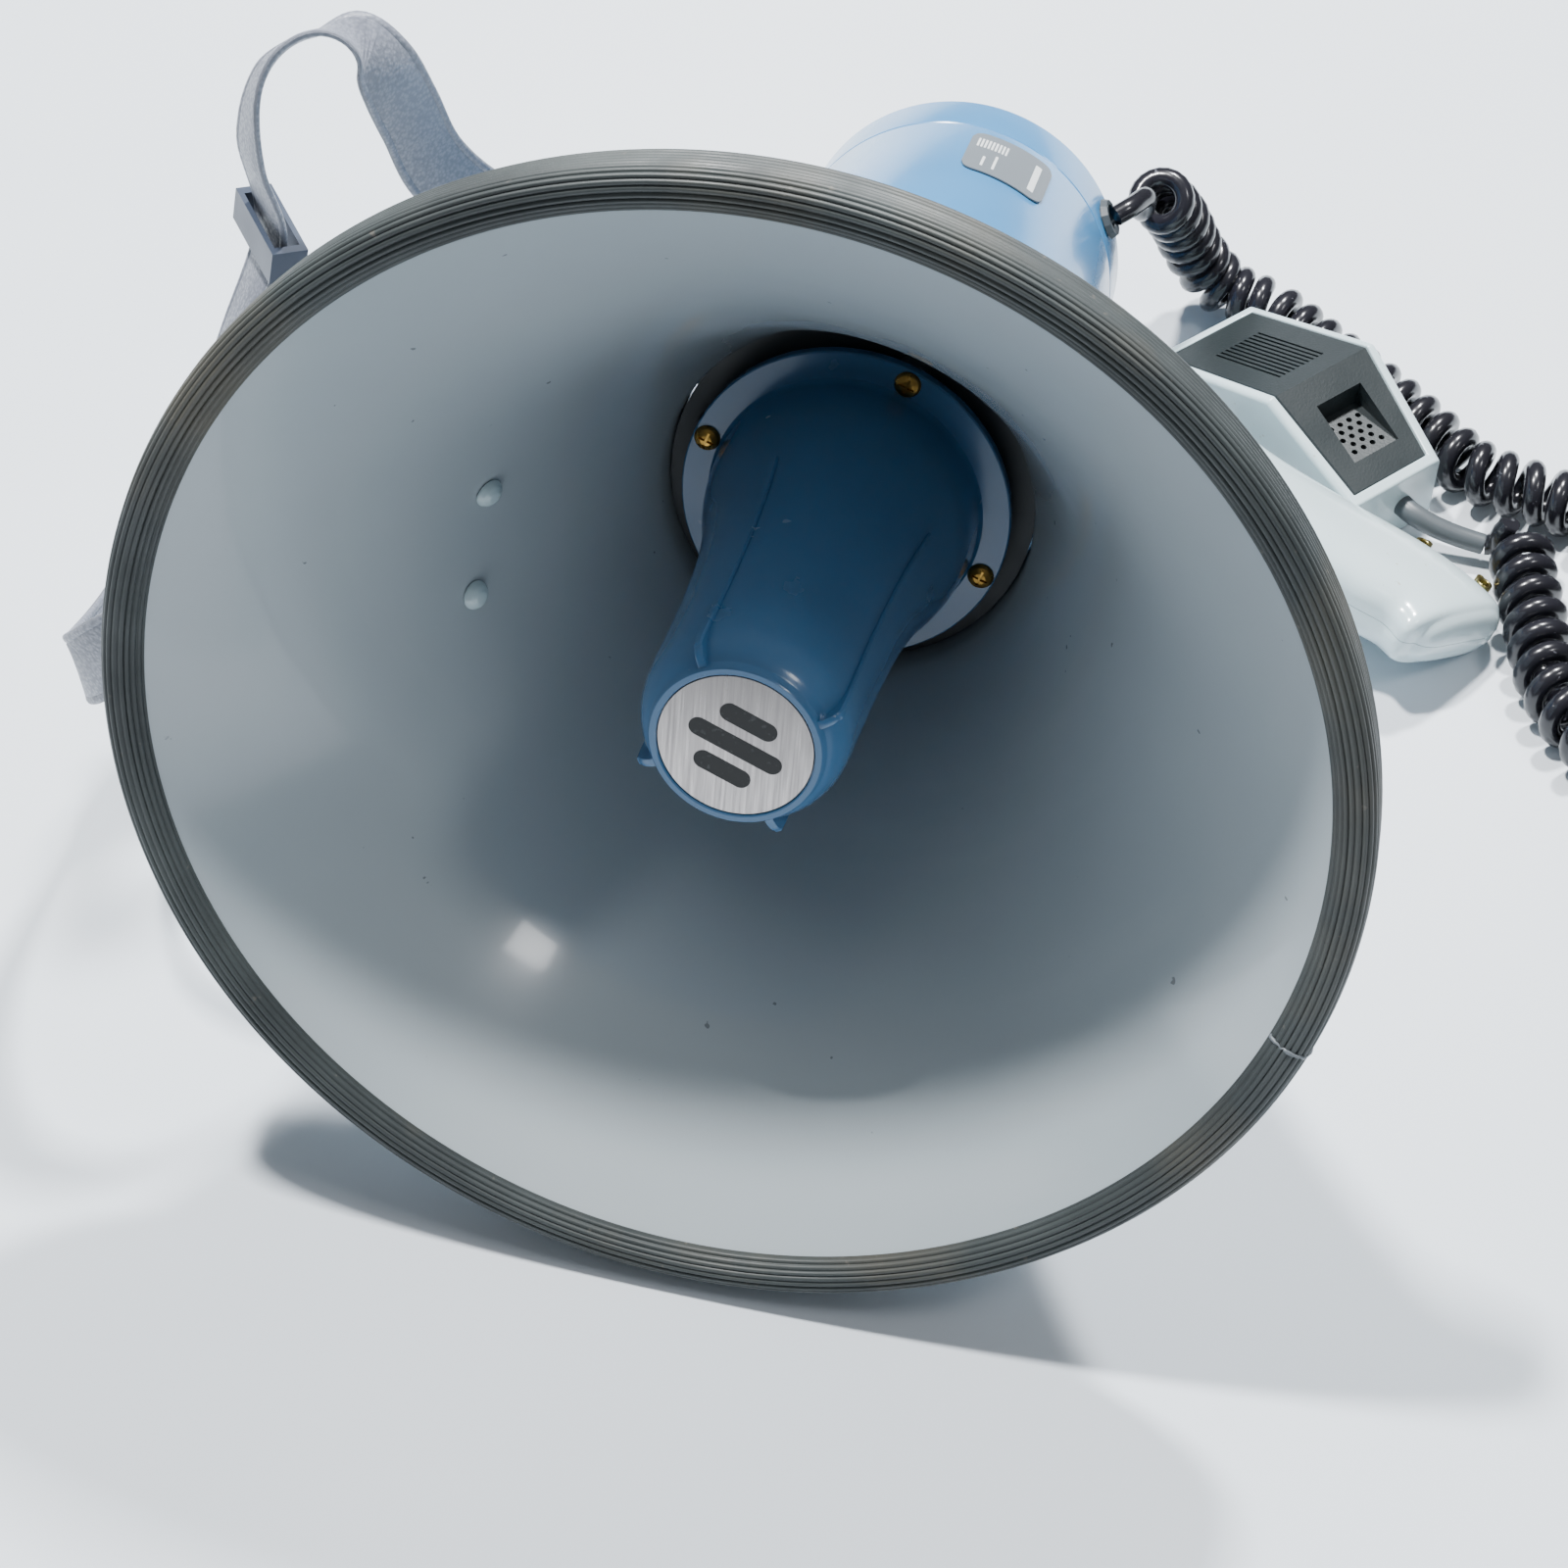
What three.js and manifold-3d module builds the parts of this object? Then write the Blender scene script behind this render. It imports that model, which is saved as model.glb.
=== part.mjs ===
// Handheld megaphone with a corded hand microphone, lying on its side.
// Millimetres, +Z up. The megaphone is drawn upright (horn axis along +Y to the rear, grip
// towards -Z) and then laid down, so that the rim, the rear end and the grip touch the floor.
import * as THREE from "three";
import { mergeVertices } from "three/addons/utils/BufferGeometryUtils.js";
import Module from "manifold-3d";

const wasm = await Module();
wasm.setup();

// ---------- driving dimensions ----------
const GAP = 0.3; // clearance between neighbouring pieces
const RING_SIDES = 48; // facets of the large turned pieces
const MID_SIDES = 28; // facets of the driver and battery pieces
const SMALL_SIDES = 12; // facets of rods, knobs and screws

const RIM_R = 150; // horn mouth, over the rubber rim
const RIM_DEPTH = 14;
const BODY_R = 50.3;
const SHELL = 2.5; // wall of the moulded housings
const BODY_FRONT_S = 160; // stations are measured from the mouth plane to the rear
const SEAM_S = 305; // joint between the rear body and the rear cap
const LENGTH = 325.7; // mouth plane to the rear face

const HORN_WALL = 1.2;
const NECK_R = 50.9; // inside radius of the sleeve that grips the rear body
const NECK_S = 150; // the flare starts here
const HORN_END_S = 176;
const MOUTH_EDGE_R = 142.2; // free edge of the horn, inside the rubber rim
const HORN_STEPS = 9; // straight facets along the flare

const SLOPE = THREE.MathUtils.degToRad(17.75); // the axis falls to the rear by this
const GRIP_DROP = THREE.MathUtils.degToRad(19.5); // the grip points this far below level
const AXIS_HEIGHT = RIM_DEPTH * Math.sin(SLOPE) + RIM_R * Math.cos(SLOPE);

const REFLECTOR_FACE_S = 21.8;
const FLANGE_S = 150; // open rear edge of the reflector
const POST_R = 41; // circle of the four reflector posts
const POSTS = [0, 1, 2, 3].map((i) => (i * Math.PI) / 2);
const BADGE_R = 18.9;

const CELL_R = 13; // size C cells, two layers of four
const CELL_L = 50;
const CELLS_S = 218;
const LID_R = 35;
const KNOB = { ring: 42.3, radius: 6.4 }; // volume knob on the rear face

const BRACKET_TURN = THREE.MathUtils.degToRad(-13.8); // strap bracket, off the grip's opposite side
const BRACKET_S = 80.5;
const BRACKET_LENGTH = 14; // along the strap
const BRACKET_RISE = 2.8; // its feet stand on pads of this height
const RIVET_SPREAD = 15.2;

const MIC_AT = { x: 117.6, y: 289, turn: THREE.MathUtils.degToRad(-40.7) };
const MIC_WALL = 2.2;

const CABLE_D = 6.4;
const COIL_D = 20.6; // outer diameter of the curly cord

// Middle of the box under everything but the cord, from the point below the mouth.
const CENTRE = { x: -5.2, y: 147 };

// ---------- materials ----------
function finish(color, roughness, metalness = 0) {
  return new THREE.MeshStandardMaterial({ color, roughness, metalness });
}
const GREY_ENAMEL = finish(0xb9c2c6, 0.3);
const BLACK_RUBBER = finish(0x3c4042, 0.75);
const BLUE_PLASTIC = finish(0x3f6f96, 0.35);
const SKY_PLASTIC = finish(0x8dbfe0, 0.3);
const WHITE_PLASTIC = finish(0xe4eef0, 0.3);
const DARK_PLASTIC = finish(0x4c5658, 0.55);
const BRUSHED = finish(0xb9b7ba, 0.35, 0.9);
const BRASS = finish(0xb08d4a, 0.35, 1);
const STEEL = finish(0x9a9da0, 0.4, 1);
const VINYL = finish(0xa9adb6, 0.45);
const CORD_BLACK = finish(0x1b1b20, 0.3);
const BOARD_GREEN = finish(0x2f6b46, 0.6);
const CELL_RED = finish(0x8a2f2b, 0.45);
const MAGNET_GREY = finish(0x55575a, 0.7);
const PAPER_CONE = finish(0x6b5a45, 0.8);

// ---------- shape helpers ----------
function solid(geometry) {
  const bare = geometry.clone();
  bare.deleteAttribute("normal");
  bare.deleteAttribute("uv");
  const merged = mergeVertices(bare, 1e-4);
  return new wasm.Manifold(new wasm.Mesh({
    numProp: 3,
    vertProperties: new Float32Array(merged.attributes.position.array),
    triVerts: new Uint32Array(merged.index.array),
  }));
}

function geometryOf(manifold) {
  const mesh = manifold.getMesh();
  const geometry = new THREE.BufferGeometry();
  geometry.setAttribute("position", new THREE.BufferAttribute(mesh.vertProperties, 3));
  geometry.setIndex(new THREE.BufferAttribute(mesh.triVerts, 1));
  geometry.computeVertexNormals();
  return geometry;
}

function cut(geometry, ...tools) {
  return geometryOf(tools.reduce((rest, tool) => rest.subtract(solid(tool)), solid(geometry)));
}

function join(geometry, ...others) {
  return geometryOf(others.reduce((whole, other) => whole.add(solid(other)), solid(geometry)));
}

function signedVolume(geometry) {
  const spots = geometry.attributes.position;
  const index = geometry.index.array;
  const corner = (i) => new THREE.Vector3().fromBufferAttribute(spots, index[i]);
  let sum = 0;
  for (let i = 0; i < index.length; i += 3) {
    sum += corner(i).dot(corner(i + 1).cross(corner(i + 2)));
  }
  return sum;
}

function facingOut(geometry) {
  if (signedVolume(geometry) < 0) {
    geometry.index.array.reverse();
    geometry.computeVertexNormals();
  }
  return geometry;
}

// A piece turned about the horn axis; the outline is [radius, station] pairs.
function turned(outline, sides = RING_SIDES) {
  const points = outline.map(([r, s]) => new THREE.Vector2(r, s));
  return facingOut(new THREE.LatheGeometry(points, sides));
}

function ring(inner, outer, from, to, sides) {
  return turned([[inner, from], [outer, from], [outer, to], [inner, to], [inner, from]], sides);
}

function disc(radius, from, to, sides) {
  return turned([[0, from], [radius, from], [radius, to], [0, to]], sides);
}

function box(width, depth, height, x = 0, y = 0, z = 0) {
  return new THREE.BoxGeometry(width, depth, height).translate(x, y, z);
}

// A rod parallel to the horn axis.
function rod(radius, from, to, x, z, sides = SMALL_SIDES) {
  const straight = new THREE.CylinderGeometry(radius, radius, to - from, sides);
  return straight.translate(x, (from + to) / 2, z);
}

// Joins rings of points, one after the other, into a closed body with flat ends.
function loft(rings) {
  const count = rings[0].length;
  const index = [];
  for (let level = 0; level < rings.length - 1; level += 1) {
    for (let i = 0; i < count; i += 1) {
      const a = level * count + i;
      const b = level * count + ((i + 1) % count);
      index.push(a, b, b + count, a, b + count, a + count);
    }
  }
  const last = (rings.length - 1) * count;
  for (let i = 1; i < count - 1; i += 1) {
    index.push(0, i + 1, i, last, last + i, last + i + 1);
  }
  const geometry = new THREE.BufferGeometry();
  geometry.setAttribute("position", new THREE.Float32BufferAttribute(rings.flat().flat(), 3));
  geometry.setIndex(index);
  geometry.computeVertexNormals();
  return facingOut(geometry);
}

function smoothCurve(points) {
  return new THREE.CatmullRomCurve3(points.map((p) => new THREE.Vector3(...p)), false, "centripetal");
}

// A round tube along a smooth curve through the points.
function tube(points, diameter, steps, sides = 10) {
  const section = new THREE.Shape();
  for (let i = 0; i < sides; i += 1) {
    const angle = (2 * Math.PI * i) / sides;
    section[i === 0 ? "moveTo" : "lineTo"](Math.cos(angle) * diameter / 2, Math.sin(angle) * diameter / 2);
  }
  return new THREE.ExtrudeGeometry(section, { steps, extrudePath: smoothCurve(points), curveSegments: 1 });
}

function named(name, geometry, material) {
  const mesh = new THREE.Mesh(geometry, material);
  mesh.name = name;
  return mesh;
}

// ---------- horn and rim ----------
const FLARE = Math.log(MOUTH_EDGE_R / NECK_R) / (NECK_S - 2);

function flareRadius(s) {
  return NECK_R * Math.exp(FLARE * Math.max(NECK_S - s, 0));
}

function flareStation(radius) {
  return NECK_S - Math.log(radius / NECK_R) / FLARE;
}

function hornOutline() {
  const inner = [[NECK_R, HORN_END_S]];
  for (let i = 0; i <= HORN_STEPS; i += 1) {
    const s = NECK_S + (flareStation(MOUTH_EDGE_R) - NECK_S) * (i / HORN_STEPS);
    inner.push([flareRadius(s), s]);
  }
  const outer = inner.map(([r, s]) => {
    const growth = s < NECK_S ? FLARE * r : 0;
    const length = Math.hypot(1, growth);
    return [r + HORN_WALL / length, s + (HORN_WALL * growth) / length];
  });
  return [...inner, ...outer.reverse(), inner[0]];
}

// Square to the horn wall beside the strap bracket: y down the flare, z outwards.
function onHorn(geometry, sideways = 0) {
  const radius = flareRadius(BRACKET_S);
  const standing = geometry.clone().rotateX(-Math.atan(FLARE * radius)).translate(0, BRACKET_S, radius);
  return standing.rotateY(BRACKET_TURN + sideways / radius);
}

function rivetHole(side) {
  const shank = new THREE.CylinderGeometry(2.1, 2.1, 20, SMALL_SIDES).rotateX(Math.PI / 2);
  return onHorn(shank, side * RIVET_SPREAD);
}

function hornBell() {
  return named("horn_bell", cut(turned(hornOutline()), rivetHole(-1), rivetHole(1)), GREY_ENAMEL);
}

function rimTrim() {
  const lip = 139.4;
  const slot = 143.9;
  const outline = [
    [lip, flareStation(lip) - 0.4],
    [lip, flareStation(lip) - 1.6],
    [141.6, 0.8],
    [144, 0],
    [148.2, 0],
    [RIM_R - 0.4, 0.9],
    [RIM_R, 2.6],
    [RIM_R, RIM_DEPTH - 1.2],
    [RIM_R - 1, RIM_DEPTH],
    [RIM_R - 3, RIM_DEPTH],
    [RIM_R - 3.6, 6.5],
    [slot + 0.6, 3],
    [slot, 1.2],
    [142.6, flareStation(142.6) - 0.45],
    [lip, flareStation(lip) - 0.4],
  ];
  return named("rim_trim", turned(outline), BLACK_RUBBER);
}

// ---------- reflector in the mouth ----------
function reflectorRib(turn) {
  const shape = new THREE.Shape();
  shape.moveTo(20.4, REFLECTOR_FACE_S + 1.5);
  shape.lineTo(26, REFLECTOR_FACE_S + 2.5);
  shape.quadraticCurveTo(27.4, 38, 27.4, 60);
  shape.lineTo(28.9, 90);
  shape.lineTo(31.8, 114);
  shape.lineTo(28.4, 104);
  shape.lineTo(25.2, 60);
  shape.lineTo(22, 28);
  const rib = new THREE.ExtrudeGeometry(shape, { depth: 2, bevelEnabled: false, curveSegments: 4 });
  return rib.translate(0, 0, -1).rotateY(turn);
}

function postHole(angle, radius, from, to) {
  return rod(radius, from, to, POST_R * Math.sin(angle), POST_R * Math.cos(angle), 12);
}

function reflector() {
  const face = REFLECTOR_FACE_S;
  const outline = [
    [0, face + 1.4],
    [BADGE_R + GAP, face + 1.4],
    [BADGE_R + GAP, face],
    [21.2, face],
    [21.6, face + 2.6],
    [24.4, face + 7],
    [25.8, face + 15],
    [26.6, 64],
    [28.2, 92],
    [31.2, 114],
    [35.4, 132],
    [37, FLANGE_S - 3],
    [45, FLANGE_S - 3],
    [45, FLANGE_S],
    [36.4, FLANGE_S],
    [33, 133],
    [28.8, 115],
    [25.8, 92],
    [24.2, 64],
    [23.2, face + 16],
    [18, face + 5.6],
    [0, face + 4],
  ];
  const ribs = [1, 3, 5, 7].map((eighth) => reflectorRib((eighth * Math.PI) / 4));
  const body = join(turned(outline, 32), ...ribs);
  const holes = POSTS.map((angle) => postHole(angle, 2.1, FLANGE_S - 6, FLANGE_S + 2));
  return named("reflector", cut(body, ...holes), BLUE_PLASTIC);
}

function reflectorBadge() {
  const badge = disc(BADGE_R, REFLECTOR_FACE_S + 0.4, REFLECTOR_FACE_S + 1.1, MID_SIDES);
  return named("reflector_badge", badge, BRUSHED);
}

function reflectorScrew(angle, number) {
  const head = FLANGE_S - 3 - GAP;
  const spot = [0, 0, POST_R];
  const shape = turned([[0, head - 2.2], [2.6, head - 1.8], [3.6, head - 0.6], [3.6, head], [1.8, head],
    [1.8, FLANGE_S + 5.6], [0, FLANGE_S + 5.6]], SMALL_SIDES);
  return named(`reflector_screw_${number}`, shape.translate(...spot).rotateY(angle), BRASS);
}

function hornBase() {
  const plateS = FLANGE_S + 6;
  const outline = [
    [12.5, plateS], [BODY_R, plateS], [BODY_R, BODY_FRONT_S - GAP], [47.4, BODY_FRONT_S - GAP],
    [47.4, 166], [12.5, 166], [12.5, plateS],
  ];
  const posts = POSTS.map((angle) => postHole(angle, 4.6, FLANGE_S + GAP, plateS + 1));
  const holes = POSTS.map((angle) => postHole(angle, 2.1, FLANGE_S - 1, FLANGE_S + 7));
  return named("horn_base", cut(join(turned(outline), ...posts), ...holes), DARK_PLASTIC);
}

function soundTube() {
  const wall = 1.6;
  const outline = [
    [13.6, 52], [13.6 + wall, 52], [9 + wall, FLANGE_S], [9 + wall, 153], [20, 153], [20, 155.6],
    [9 + wall, 155.6], [9 + wall, 165], [9, 165], [9, FLANGE_S], [13.6, 52],
  ];
  return named("sound_tube", turned(outline, MID_SIDES), DARK_PLASTIC);
}

// ---------- loudspeaker driver ----------
function driverPieces() {
  const diaphragm = [
    [0, 166.8], [8, 167], [13.4, 168.6], [15, 168.2], [22, 168.2], [22, 168.9], [15, 168.9],
    [13.4, 169.3], [7.6, 167.7], [0, 167.5],
  ];
  const yoke = [
    [4, 171], [12.3, 171], [12.3, 187.6], [37, 187.6], [37, 192.4], [4, 192.4], [4, 171],
  ];
  return [
    named("driver_clamp_ring", ring(23, 37, 166.4, 170.4, MID_SIDES), STEEL),
    named("driver_diaphragm", turned(diaphragm, MID_SIDES), PAPER_CONE),
    named("driver_voice_coil", ring(12.9, 13.7, 169.8, 182, MID_SIDES), BRASS),
    named("driver_front_plate", ring(14.3, 37, 171, 175, MID_SIDES), STEEL),
    named("driver_magnet", ring(18, 36, 175.3, 187.3, MID_SIDES), MAGNET_GREY),
    named("driver_yoke", turned(yoke, MID_SIDES), STEEL),
  ];
}

// ---------- amplifier and batteries ----------
function amplifierPieces() {
  return [
    named("amplifier_board", disc(44, 195, 196.6, MID_SIDES), BOARD_GREEN),
    named("output_transformer", box(26, 15, 22, -14, 204.7, 10), STEEL),
    named("amplifier_capacitor_1", rod(7, 197, 212, 14, 14), DARK_PLASTIC),
    named("amplifier_capacitor_2", rod(7, 197, 212, 14, -8), DARK_PLASTIC),
  ];
}

function batteryCell(number, x, z, from) {
  const outline = [[0, from], [CELL_R, from], [CELL_R, from + CELL_L - 2], [3, from + CELL_L - 2],
    [3, from + CELL_L - 0.3], [0, from + CELL_L - 0.3]];
  return named(`battery_cell_${number}`, turned(outline, SMALL_SIDES).translate(x, 0, z), CELL_RED);
}

function batteryPieces() {
  const tray = [[0, 214], [33.8, 214], [33.8, 311], [32.3, 311], [32.3, 215.6], [0, 215.6]];
  const pieces = [
    named("battery_tray", turned(tray, MID_SIDES), DARK_PLASTIC),
    named("front_contact_plate", disc(31.5, 216, 217, MID_SIDES), STEEL),
    named("rear_contact_plate", disc(31.5, 318.6, 319.4, MID_SIDES), STEEL),
  ];
  const offset = CELL_R + GAP;
  for (const layer of [0, 1]) {
    for (const quarter of [0, 1, 2, 3]) {
      const x = quarter % 2 === 0 ? -offset : offset;
      const z = quarter < 2 ? -offset : offset;
      pieces.push(batteryCell(layer * 4 + quarter + 1, x, z, CELLS_S + layer * CELL_L));
    }
  }
  return pieces;
}

// ---------- housings ----------
function glandAxis(geometry) {
  return geometry.rotateZ(-Math.PI / 2).rotateY(THREE.MathUtils.degToRad(44)).translate(0, 316, 0);
}

function glandHole() {
  return glandAxis(new THREE.CylinderGeometry(5.3, 5.3, 12, SMALL_SIDES).translate(0, 48, 0));
}

function cordGland() {
  const outline = [[4.2, 45.5], [5, 45.5], [5, BODY_R + 0.4], [6.4, BODY_R + 0.4], [5.6, 52.6], [4.2, 52.6],
    [4.2, 45.5]];
  return named("cord_gland", glandAxis(turned(outline, SMALL_SIDES)), DARK_PLASTIC);
}

function rearBody() {
  const inner = BODY_R - SHELL;
  return named("rear_body", ring(inner, BODY_R, BODY_FRONT_S, SEAM_S - GAP), SKY_PLASTIC);
}

function rearCap() {
  const inner = BODY_R - SHELL;
  const outline = [
    [inner, SEAM_S], [BODY_R, SEAM_S], [BODY_R, LENGTH - 2.4], [BODY_R - 0.8, LENGTH - 0.8],
    [BODY_R - 2.4, LENGTH], [LID_R + 0.5, LENGTH], [LID_R + 0.5, LENGTH - SHELL], [inner, LENGTH - SHELL],
    [inner, SEAM_S],
  ];
  const shaftHole = rod(3.4, LENGTH - 6, LENGTH + 2, 0, KNOB.ring, 16);
  return named("rear_cap", cut(turned(outline), shaftHole, glandHole()), SKY_PLASTIC);
}

function batteryLid() {
  const outline = [[0, 321.4], [32.6, 321.4], [32.6, 314], [34.2, 314], [34.2, 321.4], [LID_R, 321.4],
    [LID_R, LENGTH], [0, LENGTH]];
  const bar = box(44, 4.6, 8, 0, LENGTH + 2, 0);
  return named("battery_lid", join(turned(outline, RING_SIDES), bar), SKY_PLASTIC);
}

function volumePieces() {
  const back = LENGTH + GAP;
  const knob = turned([[0, back + 3], [2.8, back + 3], [2.8, back], [KNOB.radius, back],
    [KNOB.radius - 0.4, back + 7], [KNOB.radius - 1.2, back + 8], [0, back + 8]], SMALL_SIDES);
  const control = turned([[0, 309], [4.8, 309], [4.8, LENGTH - 3], [2.6, LENGTH - 3], [2.6, back + 2.6],
    [0, back + 2.6]], 16);
  return [
    named("volume_knob", knob.translate(0, 0, KNOB.ring), DARK_PLASTIC),
    named("volume_control", control.translate(0, 0, KNOB.ring), STEEL),
  ];
}

// A thin plate that follows the body, half the angle to each side of +X.
function bodyLabel() {
  const half = THREE.MathUtils.degToRad(15);
  const radii = [BODY_R + 0.45, BODY_R + 0.85];
  const rings = [];
  for (let i = 0; i <= 6; i += 1) {
    const angle = -half + (i * half) / 3;
    const at = (r, s) => [r * Math.cos(angle), s, r * Math.sin(angle)];
    rings.push([at(radii[0], 271), at(radii[1], 271), at(radii[1], 299), at(radii[0], 299)]);
  }
  return named("body_label", loft(rings), MAGNET_GREY);
}

// ---------- grip ----------
// Each section: front edge, rear edge (station, distance from the axis) and half thickness.
const GRIP_SECTIONS = [
  { front: [256, 42], rear: [306, 42], half: 19 },
  { front: [255, 56], rear: [307, 57], half: 19 },
  { front: [251, 70], rear: [309, 72], half: 15.5 },
  { front: [247, 82], rear: [303, 86], half: 14 },
  { front: [244, 92], rear: [290, 96], half: 13.5 },
  { front: [240, 106], rear: [281, 110], half: 13 },
  { front: [234, 126], rear: [277, 136], half: 12.6 },
  { front: [230, 146], rear: [275, 164], half: 12.2 },
  { front: [229, 157], rear: [270, 180], half: 11.8 },
  { front: [224, 163], rear: [264, 191], half: 10.8 },
  { front: [227, 168], rear: [259, 193], half: 8.6 },
];

// A rounded oblong between the front and rear edges, grown by the margin on every side.
function gripRing({ front, rear, half }, margin) {
  const count = 20;
  const roundness = 0.62;
  const squash = (value) => Math.sign(value) * Math.abs(value) ** roundness;
  const middle = [(front[0] + rear[0]) / 2, (front[1] + rear[1]) / 2];
  const reach = [(rear[0] - front[0]) / 2, (rear[1] - front[1]) / 2];
  const grow = 1 + margin / Math.hypot(...reach);
  return Array.from({ length: count }, (_, i) => {
    const angle = (2 * Math.PI * (i + 0.5)) / count;
    const along = squash(Math.cos(angle)) * grow;
    const across = squash(Math.sin(angle)) * (half + margin);
    return [across, middle[0] + reach[0] * along, -(middle[1] + reach[1] * along)];
  });
}

function gripLoft(margin, sections) {
  return loft(sections.map((section) => gripRing(section, margin)));
}

function gripShell(name, side) {
  const bodyCut = rod(BODY_R + GAP, 240, 320, 0, 0, RING_SIDES);
  const half = box(60, 140, 220, side * (30 + GAP / 2), 270, -120);
  const hollow = gripLoft(-2.6, GRIP_SECTIONS.slice(1, -1));
  const shape = solid(gripLoft(0, GRIP_SECTIONS)).subtract(solid(bodyCut)).subtract(solid(hollow));
  const screws = [-74, -150].map((z) => gripScrewHole(z));
  const shell = screws.reduce((rest, hole) => rest.subtract(hole), shape.intersect(solid(half)));
  return named(name, geometryOf(shell), WHITE_PLASTIC);
}

function gripScrewSpot(z) {
  return z > -100 ? 276 : 252;
}

function gripScrewHole(z) {
  const hole = new THREE.CylinderGeometry(3.4, 3.4, 30, 12).rotateZ(Math.PI / 2);
  return solid(hole.translate(-15, gripScrewSpot(z), z));
}

function gripScrew(number, z) {
  const shank = turned([[0, -11], [3, -11], [3, -8.6], [1.5, -8.6], [1.5, 8], [0, 8]], 12);
  return named(`grip_screw_${number}`, shank.rotateZ(-Math.PI / 2).translate(0, gripScrewSpot(z), z), STEEL);
}

// A wire bail for a wrist strap, folded flat on the rear edge of the grip.
function wristBail() {
  const wire = 2.6;
  const path = [[7, 277.4, -166], [0, 278, -166], [-2.4, 277.6, -168.4], [-2.4, 274, -181.6],
    [0, 273.2, -184], [7, 272.4, -184]];
  return named("wrist_bail", tube(path, wire, 14, 6), BRASS);
}

// ---------- shoulder strap ----------
// A bridge that the strap runs under: feet to both sides, 16 long, standing on z = 0.
function strapBridge(length) {
  const shape = new THREE.Shape();
  const outline = [[-18, 0], [-12.4, 0], [-12.4, 4.4], [12.4, 4.4], [12.4, 0], [18, 0], [18, 1.5],
    [13.9, 1.5], [13.9, 5.9], [-13.9, 5.9], [-13.9, 1.5], [-18, 1.5]];
  outline.forEach(([x, z], i) => shape[i === 0 ? "moveTo" : "lineTo"](x, z));
  const bridge = new THREE.ExtrudeGeometry(shape, { depth: length, bevelEnabled: false });
  return bridge.translate(0, 0, -length / 2).rotateX(Math.PI / 2);
}

function hornBracket() {
  const inner = hornOutline().slice(0, HORN_STEPS + 2);
  const outer = inner.map(([r, s]) => [r + HORN_WALL + 2 * GAP, s + GAP]);
  const horn = turned([[0, outer[0][1]], ...outer, [0, outer[outer.length - 1][1]]]);
  const bridge = strapBridge(BRACKET_LENGTH).translate(0, 0, BRACKET_RISE);
  const pads = [-1, 1].map((side) => box(5.6, BRACKET_LENGTH, 5.5, side * RIVET_SPREAD, 0, 1.2));
  const bracket = onHorn(join(bridge, ...pads));
  return named("horn_strap_bracket", cut(bracket, horn, rivetHole(-1), rivetHole(1)), STEEL);
}

function hornRivet(number, side) {
  const rivet = turned([[0, -3.2], [2, -2.9], [3.6, -1.6], [4, -0.4], [1.8, -0.4], [1.8, 5], [0, 5]],
    SMALL_SIDES);
  return named(`horn_rivet_${number}`, onHorn(rivet.rotateX(Math.PI / 2), side * RIVET_SPREAD), GREY_ENAMEL);
}

const LUG_S = 286;

function rearLug() {
  const bridge = join(strapBridge(12), box(4.4, 12, 5, 15.8, 0, -0.6), box(4.4, 12, 5, -15.8, 0, -0.6));
  const lug = bridge.translate(0, LUG_S, BODY_R - 0.8);
  const body = rod(BODY_R + GAP, LUG_S - 20, LUG_S + 18, 0, 0, RING_SIDES);
  return named("rear_strap_lug", cut(lug, body), STEEL);
}

// Middle of the strap: from the horn bracket, out and back, up through a high loop to the rear lug.
const STRAP_ROUTE = [
  [-81.4, 89.8, 126.9], [-86.4, 81.7, 130], [-91.3, 73.5, 133.2], [-106, 56, 140], [-130, 40, 140],
  [-156, 33, 126], [-175, 38, 104], [-186, 54, 86], [-190, 78, 77], [-189, 102, 80], [-182, 126, 96],
  [-172, 146, 122], [-162, 158, 150], [-160, 151, 183], [-155, 150, 205], [-148, 153, 216],
  [-139, 157, 220], [-131, 161, 216], [-126, 165, 204], [-124, 172, 186], [-121, 181, 161],
  [-111, 197, 135], [-88, 218, 110], [-66, 237, 95], [-51.8, 251, 86.8], [-49.6, 264.4, 80.9],
  [-49.1, 277.7, 76.5], [-49.1, 291, 72.2],
];
// Direction across the strap at each of those points.
const STRAP_ACROSS = [
  [0.1, 0.3, 0.95], [0.1, 0.3, 0.95], [0.1, 0.3, 0.95], [0.1, 0.26, 0.95], [0.1, 0.15, 0.98],
  [0.1, 0, 0.99], [0.05, -0.1, 0.99], [0, -0.1, 0.99], [0.1, -0.2, 0.97], [0.3, -0.4, 0.86],
  [0.5, -0.6, 0.6], [0.6, -0.7, 0.35], [0.66, -0.7, 0.25], [0.6, -0.76, 0.2], [0.4, -0.86, 0.3],
  [0.15, -0.88, 0.45], [-0.05, -0.84, 0.53], [-0.2, -0.84, 0.42], [-0.36, -0.84, 0.2],
  [-0.46, -0.8, -0.1], [-0.5, -0.74, -0.36], [-0.5, -0.66, -0.56], [-0.45, -0.55, -0.7],
  [-0.4, -0.42, -0.82], [-0.36, -0.32, -0.88], [-0.33, -0.29, -0.9], [-0.33, -0.29, -0.9],
  [-0.33, -0.29, -0.9],
];
const SLIDE_POINT = 12; // the slide sits at this point of the route
const STRAP = { width: 20, thickness: 1.8, steps: 50 };

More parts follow.
